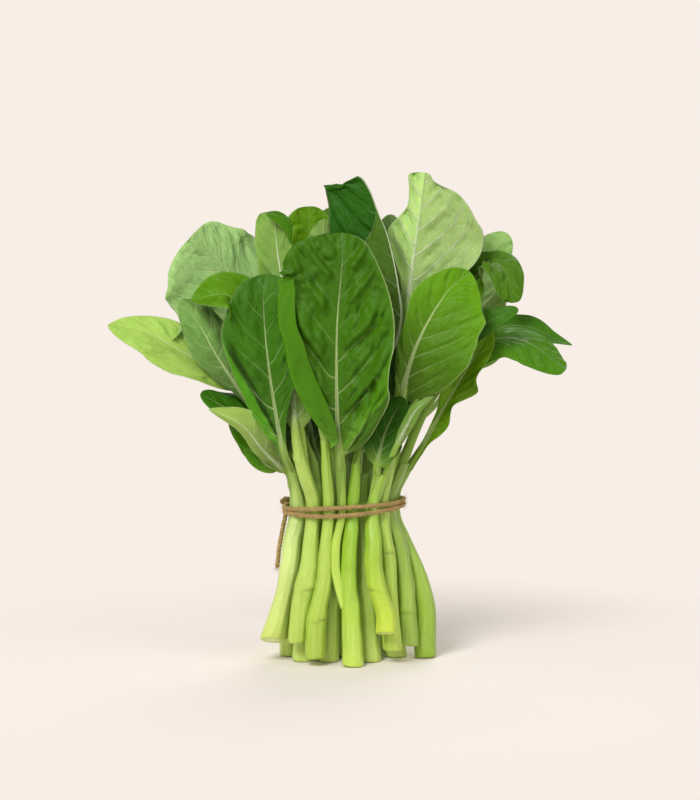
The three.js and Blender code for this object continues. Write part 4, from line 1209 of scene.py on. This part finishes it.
# %% Group: veins, the net
net_place = w.vector(w.times(number, spacing), from_rib)
wander = w.add("ShaderNodeTexNoise", {"Vector": net_place, "Scale": 0.22, "Detail": 2.0})
moved = w.add("ShaderNodeVectorMath", operation="MULTIPLY_ADD",
              inputs={0: wander.outputs[1], 1: (2.4, 2.4, 0.0), 2: net_place}).outputs[0]
wide, fine = (
    w.add("ShaderNodeTexVoronoi", {"Vector": moved, "Scale": scale},
          feature="DISTANCE_TO_EDGE", voronoi_dimensions="2D").outputs["Distance"]
    for scale in (0.24, 0.72)
)
wide_net = w.minus(1.0, w.steps(wide, 0.012, 0.075))
fine_net = w.minus(1.0, w.steps(fine, 0.02, 0.12))
net = w.math("MAXIMUM", wide_net, w.times(fine_net, 0.5))
w.put(gone.inputs["Net"], w.times(w.times(net, blade_only), w.times(clear, 1.5, clamp=True)))
cells = w.plus(w.steps(wide, 0.0, 0.42, 0.0, 0.7), w.steps(fine, 0.0, 0.4, 0.0, 0.3))
w.put(gone.inputs["Cells"], w.times(cells, blade_only))
print("nodes in the group:", len(veins.nodes))

# %% [markdown]
# ## The two sides of a leaf
# The upper side is deep green, smooth and waxy, with the veins sunk into it. The underside is
# paler and duller, and the veins stand out. So the leaf has two materials that share the vein
# group: one presses the veins in, and the other raises them. A leaf also lets light through,
# which is what makes it glow against a window. A translucent share is mixed in for that.

# %% Materials: leaf sides
def leaf_side(name, vein_tone, contrast, net_share, amount, rough, through, shape):
    """One side of a leaf. shape wires the bump height from the masks; contrast is how far the
    veins go over to their own tone, net_share how far the net does, amount how uneven the green
    is, rough the range of roughness, and through the share of light that passes the blade."""
    material, w, shader, output = new_material(name)
    tone = w.kept("tone").outputs
    mask = w.add("ShaderNodeGroup", node_tree=veins, inputs={
        title: w.kept(title.lower()).outputs["Vector"] for title in ("Vein", "Place", "Form")
    }).outputs
    mottled = w.add("ShaderNodeGroup", node_tree=uneven, inputs={
        "Colour": tone["Color"], "Place": w.own_place(),
        "Clouds": 55.0, "Grain": 1100.0, "Amount": amount,
    }).outputs
    pale = w.blend(contrast, tone["Color"], paint(*vein_tone))
    netted = w.blend(w.times(mask["Net"], net_share), mottled["Colour"], pale)
    veined = w.blend(mask["Veins"], netted, pale)
    ribbed = w.blend(w.times(mask["Rib"], tone["Alpha"]), veined, pale)
    edged = w.blend(w.times(mask["Margin"], tone["Alpha"]), ribbed, pale)
    w.put(shader.inputs["Base Color"], edged)
    w.put(shader.inputs["Roughness"], w.steps(mottled["Grain"], 0.25, 0.75, *rough))
    w.put(shader.inputs["Specular IOR Level"], 0.18)
    normal = w.bump(shape(w, mask), 0.0010, 0.8)
    w.put(shader.inputs["Normal"], normal)
    glow_tone = w.blend(0.35, edged, paint(150, 196, 40))
    glow = w.add("ShaderNodeBsdfTranslucent", {"Color": glow_tone, "Normal": normal})
    mixed = w.add("ShaderNodeMixShader", {0: through, 1: shader.outputs[0], 2: glow.outputs[0]})
    w.put(output.inputs[0], mixed.outputs[0])
    return material


def sunk(w, mask):
    """Cells stand up, and the veins lie below them."""
    return w.plus(w.times(mask["Cells"], 0.36), w.times(mask["Veins"], -0.5))


def raised(w, mask):
    """Veins and net stand out of a flat blade."""
    return w.plus(w.times(mask["Net"], 0.30), mask["Veins"])


upper_side = leaf_side("leaf_upper_side", vein_tone=(214, 230, 164), contrast=0.60, net_share=0.09,
                       amount=0.30, rough=(0.40, 0.54), through=0.14, shape=sunk)
under_side = leaf_side("leaf_underside", vein_tone=(240, 250, 210), contrast=0.78, net_share=0.36,
                       amount=0.22, rough=(0.46, 0.62), through=0.16, shape=raised)
print("materials:", upper_side.name, under_side.name)

# %% [markdown]
# ## Looks of each leaf
# No two leaves have the same green: old ones are dark, young ones are yellow-green, and a
# leaf seen from below is pale and greyish. A table holds the colours of
# both sides and of the leaf stalk, how many side veins there are, how deep the quilting is,
# and how clearly the veins show.

# %% Leaf table: looks
def look(upper, under, stem=(150, 184, 80), veins=7, quilt=0.8, show=0.7, fine=24, rib=0.9,
         far=0.2, edge=(0.55, 0.55), fade=(1, 1)):
    """One row of looks.

    upper, under, stem: colours of both sides and of the leaf stalk
    veins: how many side veins leave each side of the midrib
    quilt: how far the blade bulges between them, in millimetres
    show, rib: how clearly the side veins and the midrib stand out
    far: what is left of show at the margin and at the tip
    fine: how many points there are from the midrib to a margin
    edge: how pale the left and the right margin are
    fade: the colour's factors at the foot and at the tip of the blade, painted
    shade at the foot and painted light at the tip"""
    return dict(upper=upper, under=under, stem=stem, veins=veins, quilt=quilt, show=show,
                fine=fine, rib=rib, far=far, edge=edge, fade=fade)


# Rows with a ramp paint shade at the foot of the blade and light at its tip.
LOOKS = {
    "front_centre": look((64, 114, 5), (74, 130, 5), (158, 190, 92),
                         7, 3.2, 0.75, 44, edge=(0.0, 0.75)),
    "front_left": look((60, 114, 10), (112, 158, 44), (150, 184, 92), 6, 1.7, 0.9, 32, edge=(0.4, 0.2)),
    "front_right": look((86, 136, 5), (120, 160, 60), (168, 200, 90),
                        7, 1.0, 0.7, 32, fade=(0.62, 1.3)),
    "tall_right": look((104, 146, 62), (176, 212, 118), (150, 190, 80), 6, 2.0, 1.4, 34, far=0.95),
    "top_hood": look((40, 98, 5), (72, 112, 16), (130, 168, 62), 7, 1.6, 0.5, 28),
    "folded_left": look((76, 132, 5), (134, 174, 75), (140, 178, 70), 6, 1.2, 0.6, 26),
    "inner_pale": look((110, 150, 60), (136, 170, 80), (150, 186, 80), 6, 1.6, 0.5, 18),
    "inner_round": look((100, 148, 5), (128, 162, 74), (150, 186, 80), 6, 1.6, 0.5, 22),
    # Painted sheen: big_left's pale, bluish upper green holds the reflection of the bright surroundings.
    "big_left": look((164, 206, 124), (150, 184, 110), (190, 216, 140), 6, 1.1, 1.2, 36, far=0.9),
    "bright_left": look((92, 146, 5), (126, 166, 56), (150, 184, 80), 6, 1.2, 0.7, 22),
    "far_left": look((171, 209, 95), (160, 190, 92), (170, 200, 96), 6, 1.1, 0.55, 24),
    "blue_left": look((110, 152, 72), (126, 158, 88), (130, 168, 76),
                      6, 1.2, 0.8, 20, far=0.5, fade=(0.7, 1.25)),
    "low_left": look((60, 118, 8), (124, 160, 62), (140, 176, 70), 5, 0.5, 0.5, 16),
    "under_left": look((100, 142, 46), (158, 194, 90), (136, 172, 66),
                       5, 0.5, 0.6, 18, rib=0.5, fade=(0.62, 1.1)),
    "droop_left": look((78, 135, 8), (110, 150, 40), (130, 170, 50), 4, 0.4, 0.5, 12),
    "clasping": look((90, 130, 44), (124, 164, 70), (136, 174, 70), 5, 0.5, 0.5, 16, rib=0.3),
    "dark_right": look((46, 98, 8), (90, 130, 44), (120, 160, 60), 5, 0.6, 0.4, 16, rib=0.5),
    "narrow_right": look((110, 150, 50), (112, 152, 58), (140, 176, 66), 4, 0.4, 0.6, 14, rib=0.4),
    "low_right": look((104, 152, 8), (110, 150, 50), (130, 168, 50), 5, 0.6, 0.5, 18),
    "blue_right": look((100, 140, 66), (164, 208, 115), (150, 184, 84), 6, 1.2, 0.6, 18),
    "hooked_right": look((77, 122, 5), (116, 152, 62), (140, 178, 70),
                         6, 2.2, 0.6, 24, rib=0.5, edge=(0.3, 0.3)),
    "small_right": look((60, 112, 8), (120, 160, 60), (140, 178, 70),
                        5, 0.8, 0.4, 16, rib=0.4, edge=(0.2, 0.2)),
    "thin_right": look((66, 120, 5), (110, 150, 50), (140, 178, 70),
                       5, 0.8, 0.4, 18, rib=0.4, edge=(0.2, 0.2)),
    "far_right": look((78, 136, 5), (110, 150, 52), (140, 178, 66),
                      6, 1.0, 0.45, 22, rib=0.45, edge=(0.2, 0.2)),
    "back_grey": look((112, 146, 76), (130, 162, 90), (150, 186, 80), 6, 1.3, 0.5, 18),
    "rear_left": look((72, 118, 36), (124, 160, 74), (150, 184, 80), 7, 0.9, 0.75, 22),
    "rear_right": look((66, 112, 30), (120, 158, 68), (150, 184, 80), 7, 0.9, 0.75, 22),
    "rear_middle": look((84, 130, 36), (128, 164, 76), (150, 184, 80), 6, 0.9, 0.6, 20),
    "back_right": look((90, 138, 38), (130, 166, 78), (150, 184, 80), 6, 0.8, 0.7, 20),
    "back_left": look((100, 144, 44), (134, 168, 80), (150, 184, 80), 6, 0.8, 0.7, 20),
    "spread_right": look((82, 128, 30), (124, 160, 70), (140, 178, 70), 6, 0.7, 0.6, 20),
    "spread_left": look((92, 140, 34), (128, 164, 74), (140, 178, 70), 6, 0.7, 0.6, 20),
    "spread_back": look((78, 126, 30), (122, 158, 68), (140, 178, 70), 6, 0.7, 0.6, 20),
}
# Little light falls so deep into the bunch, so the heart's leaves share one dark row.
for key in HEART:
    LOOKS[key] = look((48, 88, 16), (84, 122, 40), (120, 158, 56), 5, 0.9, 0.5, 18)
print("rows of looks:", len(LOOKS))

# %% [markdown]
# ## The shape of a leaf
# The midrib is a curve. At each point of it stand three directions: along the leaf, out of its
# upper side, and across. A cross line leaves the midrib to each side; it rises by the fold,
# bends by the curl, and at a folded margin turns right over. How far it reaches is the outline.
# Sculpting would give one leaf; these few formulas give every leaf, each with its own numbers.

# %% Leaf: midrib and outline
RIB_RING_STEP = 1.15  # millimetres between two rings of a blade
STEM_RING_STEP = 2.6
MOST_RINGS = 112
UP = np.array([0, 0, 1.0])


def midrib(row, stalk_top):
    """Centres, the three directions, shares of the length, shares of the blade u and the length,
    for every ring. Rings crowd where the outline turns fast: at both ends of the blade. At its
    foot the leaf stalk points straight up, as the stalk does that it grows from."""
    line, share, length = curve_through([stalk_top + [*row["side"], CLEAR], *row["path"]])
    blade = row["blade"]
    t = np.linspace(0, 1, int(np.clip((1 - blade) * length / RIB_RING_STEP, 40, MOST_RINGS)))
    crowded = mix(t, 0.5 - 0.5 * np.cos(np.pi * t), 0.72)
    stem = np.linspace(0, blade, max(5, int(blade * length / STEM_RING_STEP)), endpoint=False)
    shares = np.concatenate([stem, mix(blade, 1, crowded)])
    along = unit(along_curve(np.gradient(line, axis=0), share, shares))
    upright = ease(0, max(blade * 0.5, 0.04), shares)[:, None]
    along = unit(mix(UP, along, upright))
    face_foot = unit(np.array(row["face"], float))
    face_tip = unit(np.array(row.get("face_tip", row["face"]), float))
    face = mix(face_foot, face_tip, shares[:, None])
    face = unit(face - along * (along * face).sum(1, keepdims=True))
    u = np.clip((shares - blade) / (1 - blade), 0, 1)
    return along_curve(line, share, shares), along, face, np.cross(along, face), shares, u, length


def reach_of(row, side, u, rib, seed):
    """Midrib radius plus half width times sin(pi u^p)^e, where p puts the widest place where it
    belongs and e, from ends, is blunt when small. A side with its own widths, in millimetres at
    shares u of the blade, takes those, and from the blunt share on they round off as a quarter
    circle. Slow noise makes the margin wander."""
    if side in row.get("widths", {}):
        blunt = row["widths"].get("blunt", 0.9)
        width = np.clip(smooth_between(*np.array(row["widths"][side]).T, u), 0, None)
        rounding = np.clip((u - blunt) / (1 - blunt), 0, 1)
        width = width * np.sqrt(np.clip(1 - rounding**2, 0, 1))
    else:
        power = math.log(0.5) / math.log(row["widest"])
        hump = np.clip(np.sin(np.pi * u**power), 0, 1)
        width = row["half"][side > 0] * hump ** np.where(u < row["widest"], *row["ends"])
    wander = 0.045 * noise(u * 6, side * 3.0 + 9, seed) + 0.018 * noise(u * 17, side * 5.0 + 9, seed)
    return rib + width * (1 + row.get("lobed", 1) * wander)


example = midrib(SHAPES["front_centre"], LINES[5][0][-1])
print("the middle leaf has %d rings and is %.0f mm long" % (len(example[0]), example[-1]))

# %% [markdown]
# ## Veins and quilting of a leaf
# The side veins are drawn by one number: how far along the blade a point is, less how far a
# vein has climbed on its way out to it. Where that number is whole, there is a vein. The same
# number shapes the blade, because the tissue between two veins grows more than the veins do
# and has to bulge: the surface rises between them and is held down at them.

# %% Leaf: vein number and quilting
def vein_number(looks, side, along, out, q, blade_length, seed):
    """n (s - climb) / L for n veins on a blade of length L, at s along it and d out from the
    midrib. The climb is 1.05 d + 0.35 d q^2 and the two sides are half a step apart; slow noise
    makes the spacing uneven."""
    climb = 1.05 * out + 0.35 * out * q**2
    number = looks["veins"] * (along - climb) / blade_length
    apart = 0.5 * (side < 0) * ease(0, 0.8, out)
    uneven_step = 0.16 * noise(along / 26 + 5, side * out / 22 + 9, seed) * ease(0, 5, out)
    return number + apart + uneven_step


def quilting(looks, number, along, out, q, seed):
    """How far the blade stands out: |sin(pi number)| between two veins and |noise| for smaller
    bulges, times the row's quilt, fading to nothing at the midrib and at the margin. The valleys
    are rounded, as the square root of x^2 and a little more, or the skins would touch there."""
    body = ease(0.03, 0.22, q) * (1 - ease(0.80, 1.0, q))
    rounded = lambda value: np.sqrt(value**2 + 0.02) - 0.14
    between = rounded(np.sin(np.pi * number))
    small = rounded(noise(number * 3.0, out / 9, seed + 1))
    small = small + 0.5 * rounded(noise(along / 5, out / 5, seed + 2))
    return looks["quilt"] * body * (0.9 * between + 1.7 * small - 0.6)


at_40_up_10_out = vein_number(LOOKS["front_centre"], 1, 40.0, 10.0, 0.5, 110, 1)
print("vein number 40 mm up and 10 mm out: %.2f" % at_40_up_10_out)

# %% [markdown]
# ## One side of the midrib
# Fold, curl, creases and a turned-over margin all do one thing: they turn the cross line. So
# they are added up as an angle at each place, and small steps in that direction, one after the
# other, give how far out and how far up the line has come. A blade made this way keeps its
# width when it is folded, as a real one does; a blade that is only bent upwards would stretch.

# %% Leaf: one side of the midrib
FLAP_BEND = 4.0  # millimetres of the cross line that the bend of a turned-over margin takes


def crease_share(crease, u, q):
    """How far a point lies past a slanting crease, 0 to 1. The crease runs from q = at[0] where
    it starts on the blade to q = at[1] where it ends."""
    start, end = crease.span
    place = mix(*crease.at, np.clip((u - start) / (end - start), 0, 1))[:, None]
    present = ease(start - 0.04, start + 0.04, u) * (1 - ease(end - 0.04, end + 0.06, u))
    return present[:, None] * ease(0, 1, (q - place) / crease.width)


def creases_of(row, side):
    """The creases on one side of a leaf."""
    return [crease for crease in row.get("creases", []) if crease.side == side]


def flap_share(row, side, u, q, reach):
    """How far a point lies past the bend of a turned-over margin, 0 to 1. The bend runs along a
    table of q over u and takes FLAP_BEND millimetres."""
    flap = row.get("flap")
    if flap is None or flap.side != side:
        return 0 * q
    span = ease(flap.start, flap.start + 0.06, u) * (1 - ease(flap.end - 0.02, flap.end, u))
    at = smooth_between(*np.array(flap.bend).T, u)[:, None]
    return span[:, None] * np.clip((q - at) * reach / FLAP_BEND, 0, 1)


def turn_of(row, side, u, q, reach):
    """The angle of the cross line in radians: the fold, plus curl q, plus what the flap and the
    creases turn it."""
    turn = mix(*row["fold"], u)[:, None] + row["curl"][side > 0] * q
    if "flap" in row:
        turn = turn + row["flap"].angle * flap_share(row, side, u, q, reach)
    for crease in creases_of(row, side):
        turn = turn + crease.angle * crease_share(crease, u, q)
    return np.radians(turn)


def waves_of(row, side, u, q, reach, seed):
    """How far the margin's waves lift a point: h q^2 sin(2 pi n u) and a fine frill with q^4, both
    less where the blade is narrower than 9 mm."""
    height, waves, phase = row["ruffle"]
    lift = np.sin(np.pi * u) * np.sin(2 * np.pi * waves * u + phase + side)
    frill = np.sin(np.pi * u) ** 0.5 * noise(u * waves * 4.2, u * 0 + side, seed + 5)
    return ease(0, 9, reach) * (height * q**2 * lift[:, None] + 0.9 * q**4 * frill[:, None])


def leaf_half(row, looks, side, u, length, rib, seed):
    """Cross lines of one half. Returns how far out and up each point lies, its angle, its
    distance d along the cross line, q = d / reach, the vein number, the place along the blade,
    and two shares: how near a turned-over margin is, and how far round its bend it lies."""
    reach = reach_of(row, side, u, rib, seed)[:, None]
    inner = np.linspace(0, 0.7, 5)[:-1]
    outer = 1 - (1 - np.linspace(0, 1, looks["fine"])) ** 1.12
    rib = rib[:, None]
    d = np.concatenate([rib * inner, rib * mix(0.7, 1, outer) + (reach - rib) * outer], 1)
    q = d / reach
    steps, between = np.diff(d, axis=1), turn_of(row, side, u, (q[:, 1:] + q[:, :-1]) / 2, reach)
    zero = np.zeros((len(u), 1))
    out = np.concatenate([zero, np.cumsum(np.cos(between) * steps, 1)], 1)
    up = np.concatenate([zero, np.cumsum(np.sin(between) * steps, 1)], 1)
    up = up + waves_of(row, side, u, q, reach, seed)
    blade_length = (1 - row["blade"]) * length
    along = (u * blade_length)[:, None] + 0 * d
    number = vein_number(looks, side, along, d, q, blade_length, seed)
    bend = flap_share(row, side, u, q, reach)
    near_bend = ease(0, 1, flap_share(row, side, u, q + 0.16, reach))
    return out, up, turn_of(row, side, u, q, reach), d, q, number, along, near_bend, bend


angles = [crease.angle for row in SHAPES.values() for crease in row.get("creases", [])]
print("creases:", len(angles), "folding by", angles, "degrees")

# %% [markdown]
# ## Two skins with a midrib between them
# A blade is thinner than a millimetre, but it isn't a plane: it has two sides with different
# colours and a midrib that is thick at the foot. So each cross line becomes two, half the
# thickness above and below it and further apart at the midrib, and they close at the margin.
# Blender could thicken a plane by itself, but then the midrib would have to be another piece.

# %% Leaf: both skins
BLADE_THICKNESS = 0.55
TIP_RADIUS = 0.35
VEIN_ROOM = 64


def leaf_points(row, looks, stalk_top, seed):
    """Places both skins of each half: centre + across (out - sin(angle) h) + face (up +
    cos(angle) h), where h is half the thickness plus the midrib's roundness. Quilting is added to
    the height alone: moved along the angle too, the skins would cross where a blade is creased.
    A half with a lean is also drawn forward, by lean d ease(u), so that its end is cut
    straighter. Returns each skin's points with what its material reads, and the midrib's shares,
    u and length."""
    centre, along, face, across, shares, u, length = midrib(row, stalk_top)
    rib = mix(row["petiole"], TIP_RADIUS, ease(-0.35, 0.85, u) ** 0.7)
    rib = rib * (1 + 0.25 * (1 - ease(0, 14, shares * length)))
    stem = 1 - ease(row["blade"], row["blade"] + 0.12, shares)[:, None]
    rng = np.random.default_rng(seed)
    strong, forks = rng.uniform(0.5, 1.0, VEIN_ROOM), rng.choice([0, 0.13, 0.20], VEIN_ROOM)
    spacing = (1 - row["blade"]) * length / looks["veins"] * 0.74
    skins = {}
    for side in (-1, 1):
        half = leaf_half(row, looks, side, u, length, rib, seed + 7 * side)
        out, up, angle, d, q, number, s, near_bend, bend = half
        radius = rib[:, None]
        stalky = stem * (1 - ease(1.0, 1.9, d / radius))
        roundness = radius * np.sqrt(np.clip(1 - (d / radius) ** 2, 0, 1))
        skin = BLADE_THICKNESS / 2 * np.sqrt(np.clip(1 - q**4, 0, 1))
        bulge = quilting(looks, number, s, d, q, seed) * (1 - stem) * (1 - 0.75 * near_bend)
        bulge = bulge * ease(0, 6, d - radius)
        index = np.clip(np.round(number).astype(int) + 20, 0, VEIN_ROOM - 1)
        clear = looks["show"] * mix(1.0, looks["far"], ease(0.1, 0.75, u))[:, None] * strong[index]
        clear = clear * mix(1.0, looks["far"], ease(0.2, 0.9, q)) * (1 - near_bend)
        forward = row.get("lean", {}).get(side, 0) * ease(0.6, 0.97, u)[:, None] * d
        kept = {
            "vein": np.stack([number, forks[index] * ease(0.45, 0.95, q), clear], -1),
            "place": np.stack([side * d, s, q], -1),
            "form": np.stack([radius + 0 * d, spacing + 0 * d, stalky], -1),
            # ridge marks the bend of a turned-over margin, where a painted highlight goes.
            "ridge": 4 * bend * (1 - bend) * (1 - 0.7 * u[:, None]),
        }
        upper_h = skin + roundness * mix(0.16, 0.9, stem)
        for under, h in ((False, upper_h), (True, -(skin + roundness))):
            sideways = side * (out - np.sin(angle) * h)
            outward = up + np.cos(angle) * h + bulge
            points = centre[:, None] + across[:, None] * sideways[..., None]
            points = points + along[:, None] * forward[..., None]
            skins[side, under] = points + face[:, None] * outward[..., None], kept
    return skins, shares, u, length


def ring_order(pick):
    """One ring: the upper skin from the left margin to the right one, then the lower skin back."""
    left, right = pick(-1, False), pick(1, False)
    back_right, back_left = pick(1, True), pick(-1, True)
    return np.concatenate([left[:, ::-1], right[:, 1:], back_right[:, -2::-1], back_left[:, 1:-1]], 1)


skins = leaf_points(SHAPES["clasping"], LOOKS["clasping"], LINES[3][0][-1], seed=1000)[0]
print("one ring of the clasping leaf has", ring_order(lambda *key: skins[key][0]).shape[1], "points")

# %% [markdown]
# ## Building the leaves
# A leaf stalk doesn't stop where it meets the stalk: it clasps it and grows into it. So each
# leaf gets a few more rings below its first one, which sink into the stalk's crown and narrow
# there. Then every leaf is built, its colour is worked out from its row, and it takes the place
# of its solid; the small leaves of the heart have none.

# %% Leaf pieces
ROOT_DEPTHS = (24, 20, 16, 12, 8.5, 5.5, 2.5)


def rooted(rings, axis):
    """Rings below the first: copies of it that go down along the stalk's own middle line, drawn
    in a little more and nearer to that line the deeper they lie."""
    first = rings[0]
    centre = first.mean(0)
    top = axis[-1]
    below = []
    for down in ROOT_DEPTHS:
        share = down / ROOT_DEPTHS[0]
        middle = np.array([np.interp(top[2] - down, axis[:, 2], axis[:, n]) for n in (0, 1)])
        beside = middle + (centre[:2] - top[:2]) * (1 - 0.45 * share)
        place = np.array([*beside, centre[2] - down])
        below.append(place + (first - centre) * (1 - 0.28 * share))
    return np.concatenate([np.stack(below), rings])


def leaf_tone(looks, under, stem, u, q, seed):
    """The side's own green, a little nearer to the leaf stalk's colour at the foot of the blade
    and lighter at the margin, with broad clouds, going over to the leaf stalk's colour."""
    base, stalk_tone = srgb(*looks["under" if under else "upper"]), srgb(*looks["stem"])
    cloud = 1 + 0.10 * noise(u[:, None] * 5, q * 2.2, seed + 3) + 0.06 * ease(0.8, 1, q)
    # Painted shade and light: the row's ramp darkens the foot of the blade and lightens its tip.
    cloud = cloud * mix(*looks["fade"], ease(0, 1, u))[:, None]
    near_foot = (1 - ease(0.0, 0.3, u))[:, None, None]
    tone = mix(base, mix(base, stalk_tone, 0.12), near_foot) * cloud[..., None]
    stalk_cloud = 1 + 0.06 * noise(u[:, None] * 3, q * 4, seed + 4)
    return mix(tone, stalk_tone * stalk_cloud[..., None], stem[..., None])


def grow(key, number):
    """Builds one leaf from its rows. Its colour is the side's own, times the painted light or shade
    of each crease, with a painted highlight on the bend of a flap, and that of the stalk's crown
    where it springs from it."""
    row, looks = {**SHAPES, **HEART}[key], LOOKS[key]
    seed = 1000 + 31 * number
    middles = LINES[row["stalk"]][0]
    crown = srgb(*STALK_LOOKS.get(row["stalk"], DEEP)["tones"][2])
    skins, shares, u, length = leaf_points(row, looks, middles[-1], seed)

    def tone(side, under):
        """Colour, and as the fourth number how clearly midrib and margin are marked."""
        kept = skins[side, under][1]
        q, stalky = kept["place"][..., 2], kept["form"][..., 2]
        colour = leaf_tone(looks, under, stalky, u, side * q, seed)
        # Painted light and shade: past each crease the colour is darkened in a shaded wedge or lightened
        # on a strip that faces the lamp.
        for crease in creases_of(row, side):
            colour = colour * mix(1, crease.tint, crease_share(crease, u, q))[..., None]
        # Painted highlight: the bend of a turned-over margin is made up to 45% lighter, as if it caught
        # the light.
        colour = colour * (1 + 0.45 * kept["ridge"][..., None])
        colour = mix(crown, colour, ease(-4, 22, shares * length)[:, None, None])
        shown = looks["rib"] * (1 - 0.85 * ease(0.6, 0.97, u))[:, None] * (1 - 0.9 * stalky)
        marked = mix(shown, looks["edge"][side > 0], ease(0.5, 0.9, q))
        return np.concatenate([colour, marked[..., None]], -1)

    points = rooted(ring_order(lambda side, under: skins[side, under][0]), middles)
    extra = len(points) - len(shares)
    blocks = {name: ring_order(lambda side, under: skins[side, under][1][name])
              for name in ("vein", "place", "form")}
    blocks["tone"] = ring_order(tone)
    values = {name: np.concatenate([np.repeat(block[:1], extra, 0), block])
              for name, block in blocks.items()}
    upper_points = points.shape[1] // 2
    piece = surface(f"grown_{key}", points * MM, values, [upper_side, under_side], second=upper_points)
    nodes = [f"leaf_{key}"] if key in SHAPES else []
    return settle_in(piece, "leaf", *nodes)


leaves = [grow(key, number) for number, key in enumerate([*SHAPES, *HEART])]
print("leaves:", len(leaves), "faces:", sum(len(piece.data.polygons) for piece in leaves))

# %% [markdown]
# ## Floor, backdrop and light
# The bunch stands on a plain pale floor. The floor near it is a real matt surface that takes
# its shadow, and further out it goes over into the plain colour of the backdrop, so no horizon
# shows. The light is that of a soft-box studio: one strong lamp at the front left, wider and
# weaker ones at the front right and behind, and an even, weak light from all round. Small lamps
# as strong as these would burn spots on the waxy stalks.

# %% Floor and backdrop
BACKDROP = paint(248, 238, 230)
FLOOR_RADIUS = 2.4
FLOOR_DROP = 0.0002
FLOOR_CORNERS = 64


def floor_piece():
    """A level disc just below the lowest cut ends, with one many-sided face."""
    angle = np.linspace(0, 2 * np.pi, FLOOR_CORNERS, endpoint=False)
    level = np.full(FLOOR_CORNERS, -FLOOR_DROP)
    rim = np.stack([FLOOR_RADIUS * np.cos(angle), FLOOR_RADIUS * np.sin(angle), level], -1)
    mesh = bpy.data.meshes.new("floor")
    mesh.from_pydata(rim.tolist(), [], [list(range(FLOOR_CORNERS))])
    return show_in_scene("floor", mesh)


floor = floor_piece()
matt, w, shader, output = new_material("floor_matt")
w.put(shader.inputs["Base Color"], paint(250, 239, 234))
w.put(shader.inputs["Roughness"], 0.95)
w.put(shader.inputs["Specular IOR Level"], 0.1)
away = w.add("ShaderNodeVectorMath", {0: w.own_place()}, operation="LENGTH").outputs["Value"]
plain = w.add("ShaderNodeEmission", {"Color": BACKDROP, "Strength": 1.0})
ray = w.add("ShaderNodeLightPath").outputs
seen = w.math("MAXIMUM", ray["Is Camera Ray"], ray["Is Glossy Ray"])
plain_share = w.times(w.steps(away, 0.07, 0.34), seen)
joined = w.add("ShaderNodeMixShader", {0: plain_share, 1: shader.outputs[0], 2: plain.outputs[0]})
w.put(output.inputs[0], joined.outputs[0])
floor.data.materials.append(matt)
print("floor: a disc %.1f m across" % (2 * FLOOR_RADIUS))

# %% [markdown]
# ## Lamps
# What the camera sees of the world is the plain backdrop, while the world's light is weaker and
# a little warm. A lamp's direction could be set by hand, but it follows from its place: each
# looks at the middle of the bunch, so a lamp can be moved without being turned.

# %% World and lamps
world = bpy.data.worlds.new("studio")
bpy.context.scene.world = world
world.use_nodes = True
world.node_tree.nodes.clear()
w = Wires(world.node_tree)
ray = w.add("ShaderNodeLightPath").outputs
mirrored = w.math("MAXIMUM", ray["Is Glossy Ray"], ray["Is Transmission Ray"])
seen = w.math("MAXIMUM", ray["Is Camera Ray"], mirrored)
shown = w.add("ShaderNodeBackground", {"Color": BACKDROP, "Strength": 1.0})
lit = w.add("ShaderNodeBackground", {"Color": (1.0, 0.98, 0.93, 1), "Strength": 0.34})
either = w.add("ShaderNodeMixShader", {0: seen, 1: lit.outputs[0], 2: shown.outputs[0]})
w.add("ShaderNodeOutputWorld", {0: either.outputs[0]})


def lamp(name, place, size, power):
    """A square soft-box that looks at the middle of the bunch."""
    data = bpy.data.lights.new(name, "AREA")
    data.shape, data.size, data.energy = "SQUARE", size, power
    box = bpy.data.objects.new(name, data)
    box.location = place
    toward = AIM - np.array(place)
    rise = math.atan2(toward[2], math.hypot(toward[0], toward[1]))
    heading = math.atan2(toward[1], toward[0])
    box.rotation_euler = (math.pi / 2 + rise, 0, heading - math.pi / 2)
    bpy.context.scene.collection.objects.link(box)


lamp("key", (-0.60, -1.15, 1.15), 0.65, 20.0)
lamp("fill", (1.10, -0.85, 0.55), 0.9, 4.0)
lamp("rim", (0.35, 1.2, 1.1), 0.9, 8.0)
bpy.context.scene.view_settings.view_transform = "Standard"

# %% [markdown]
# ## Last update
# The scene is brought up to date, so that every piece stands where it was put.

# %% Update
bpy.context.view_layer.update()
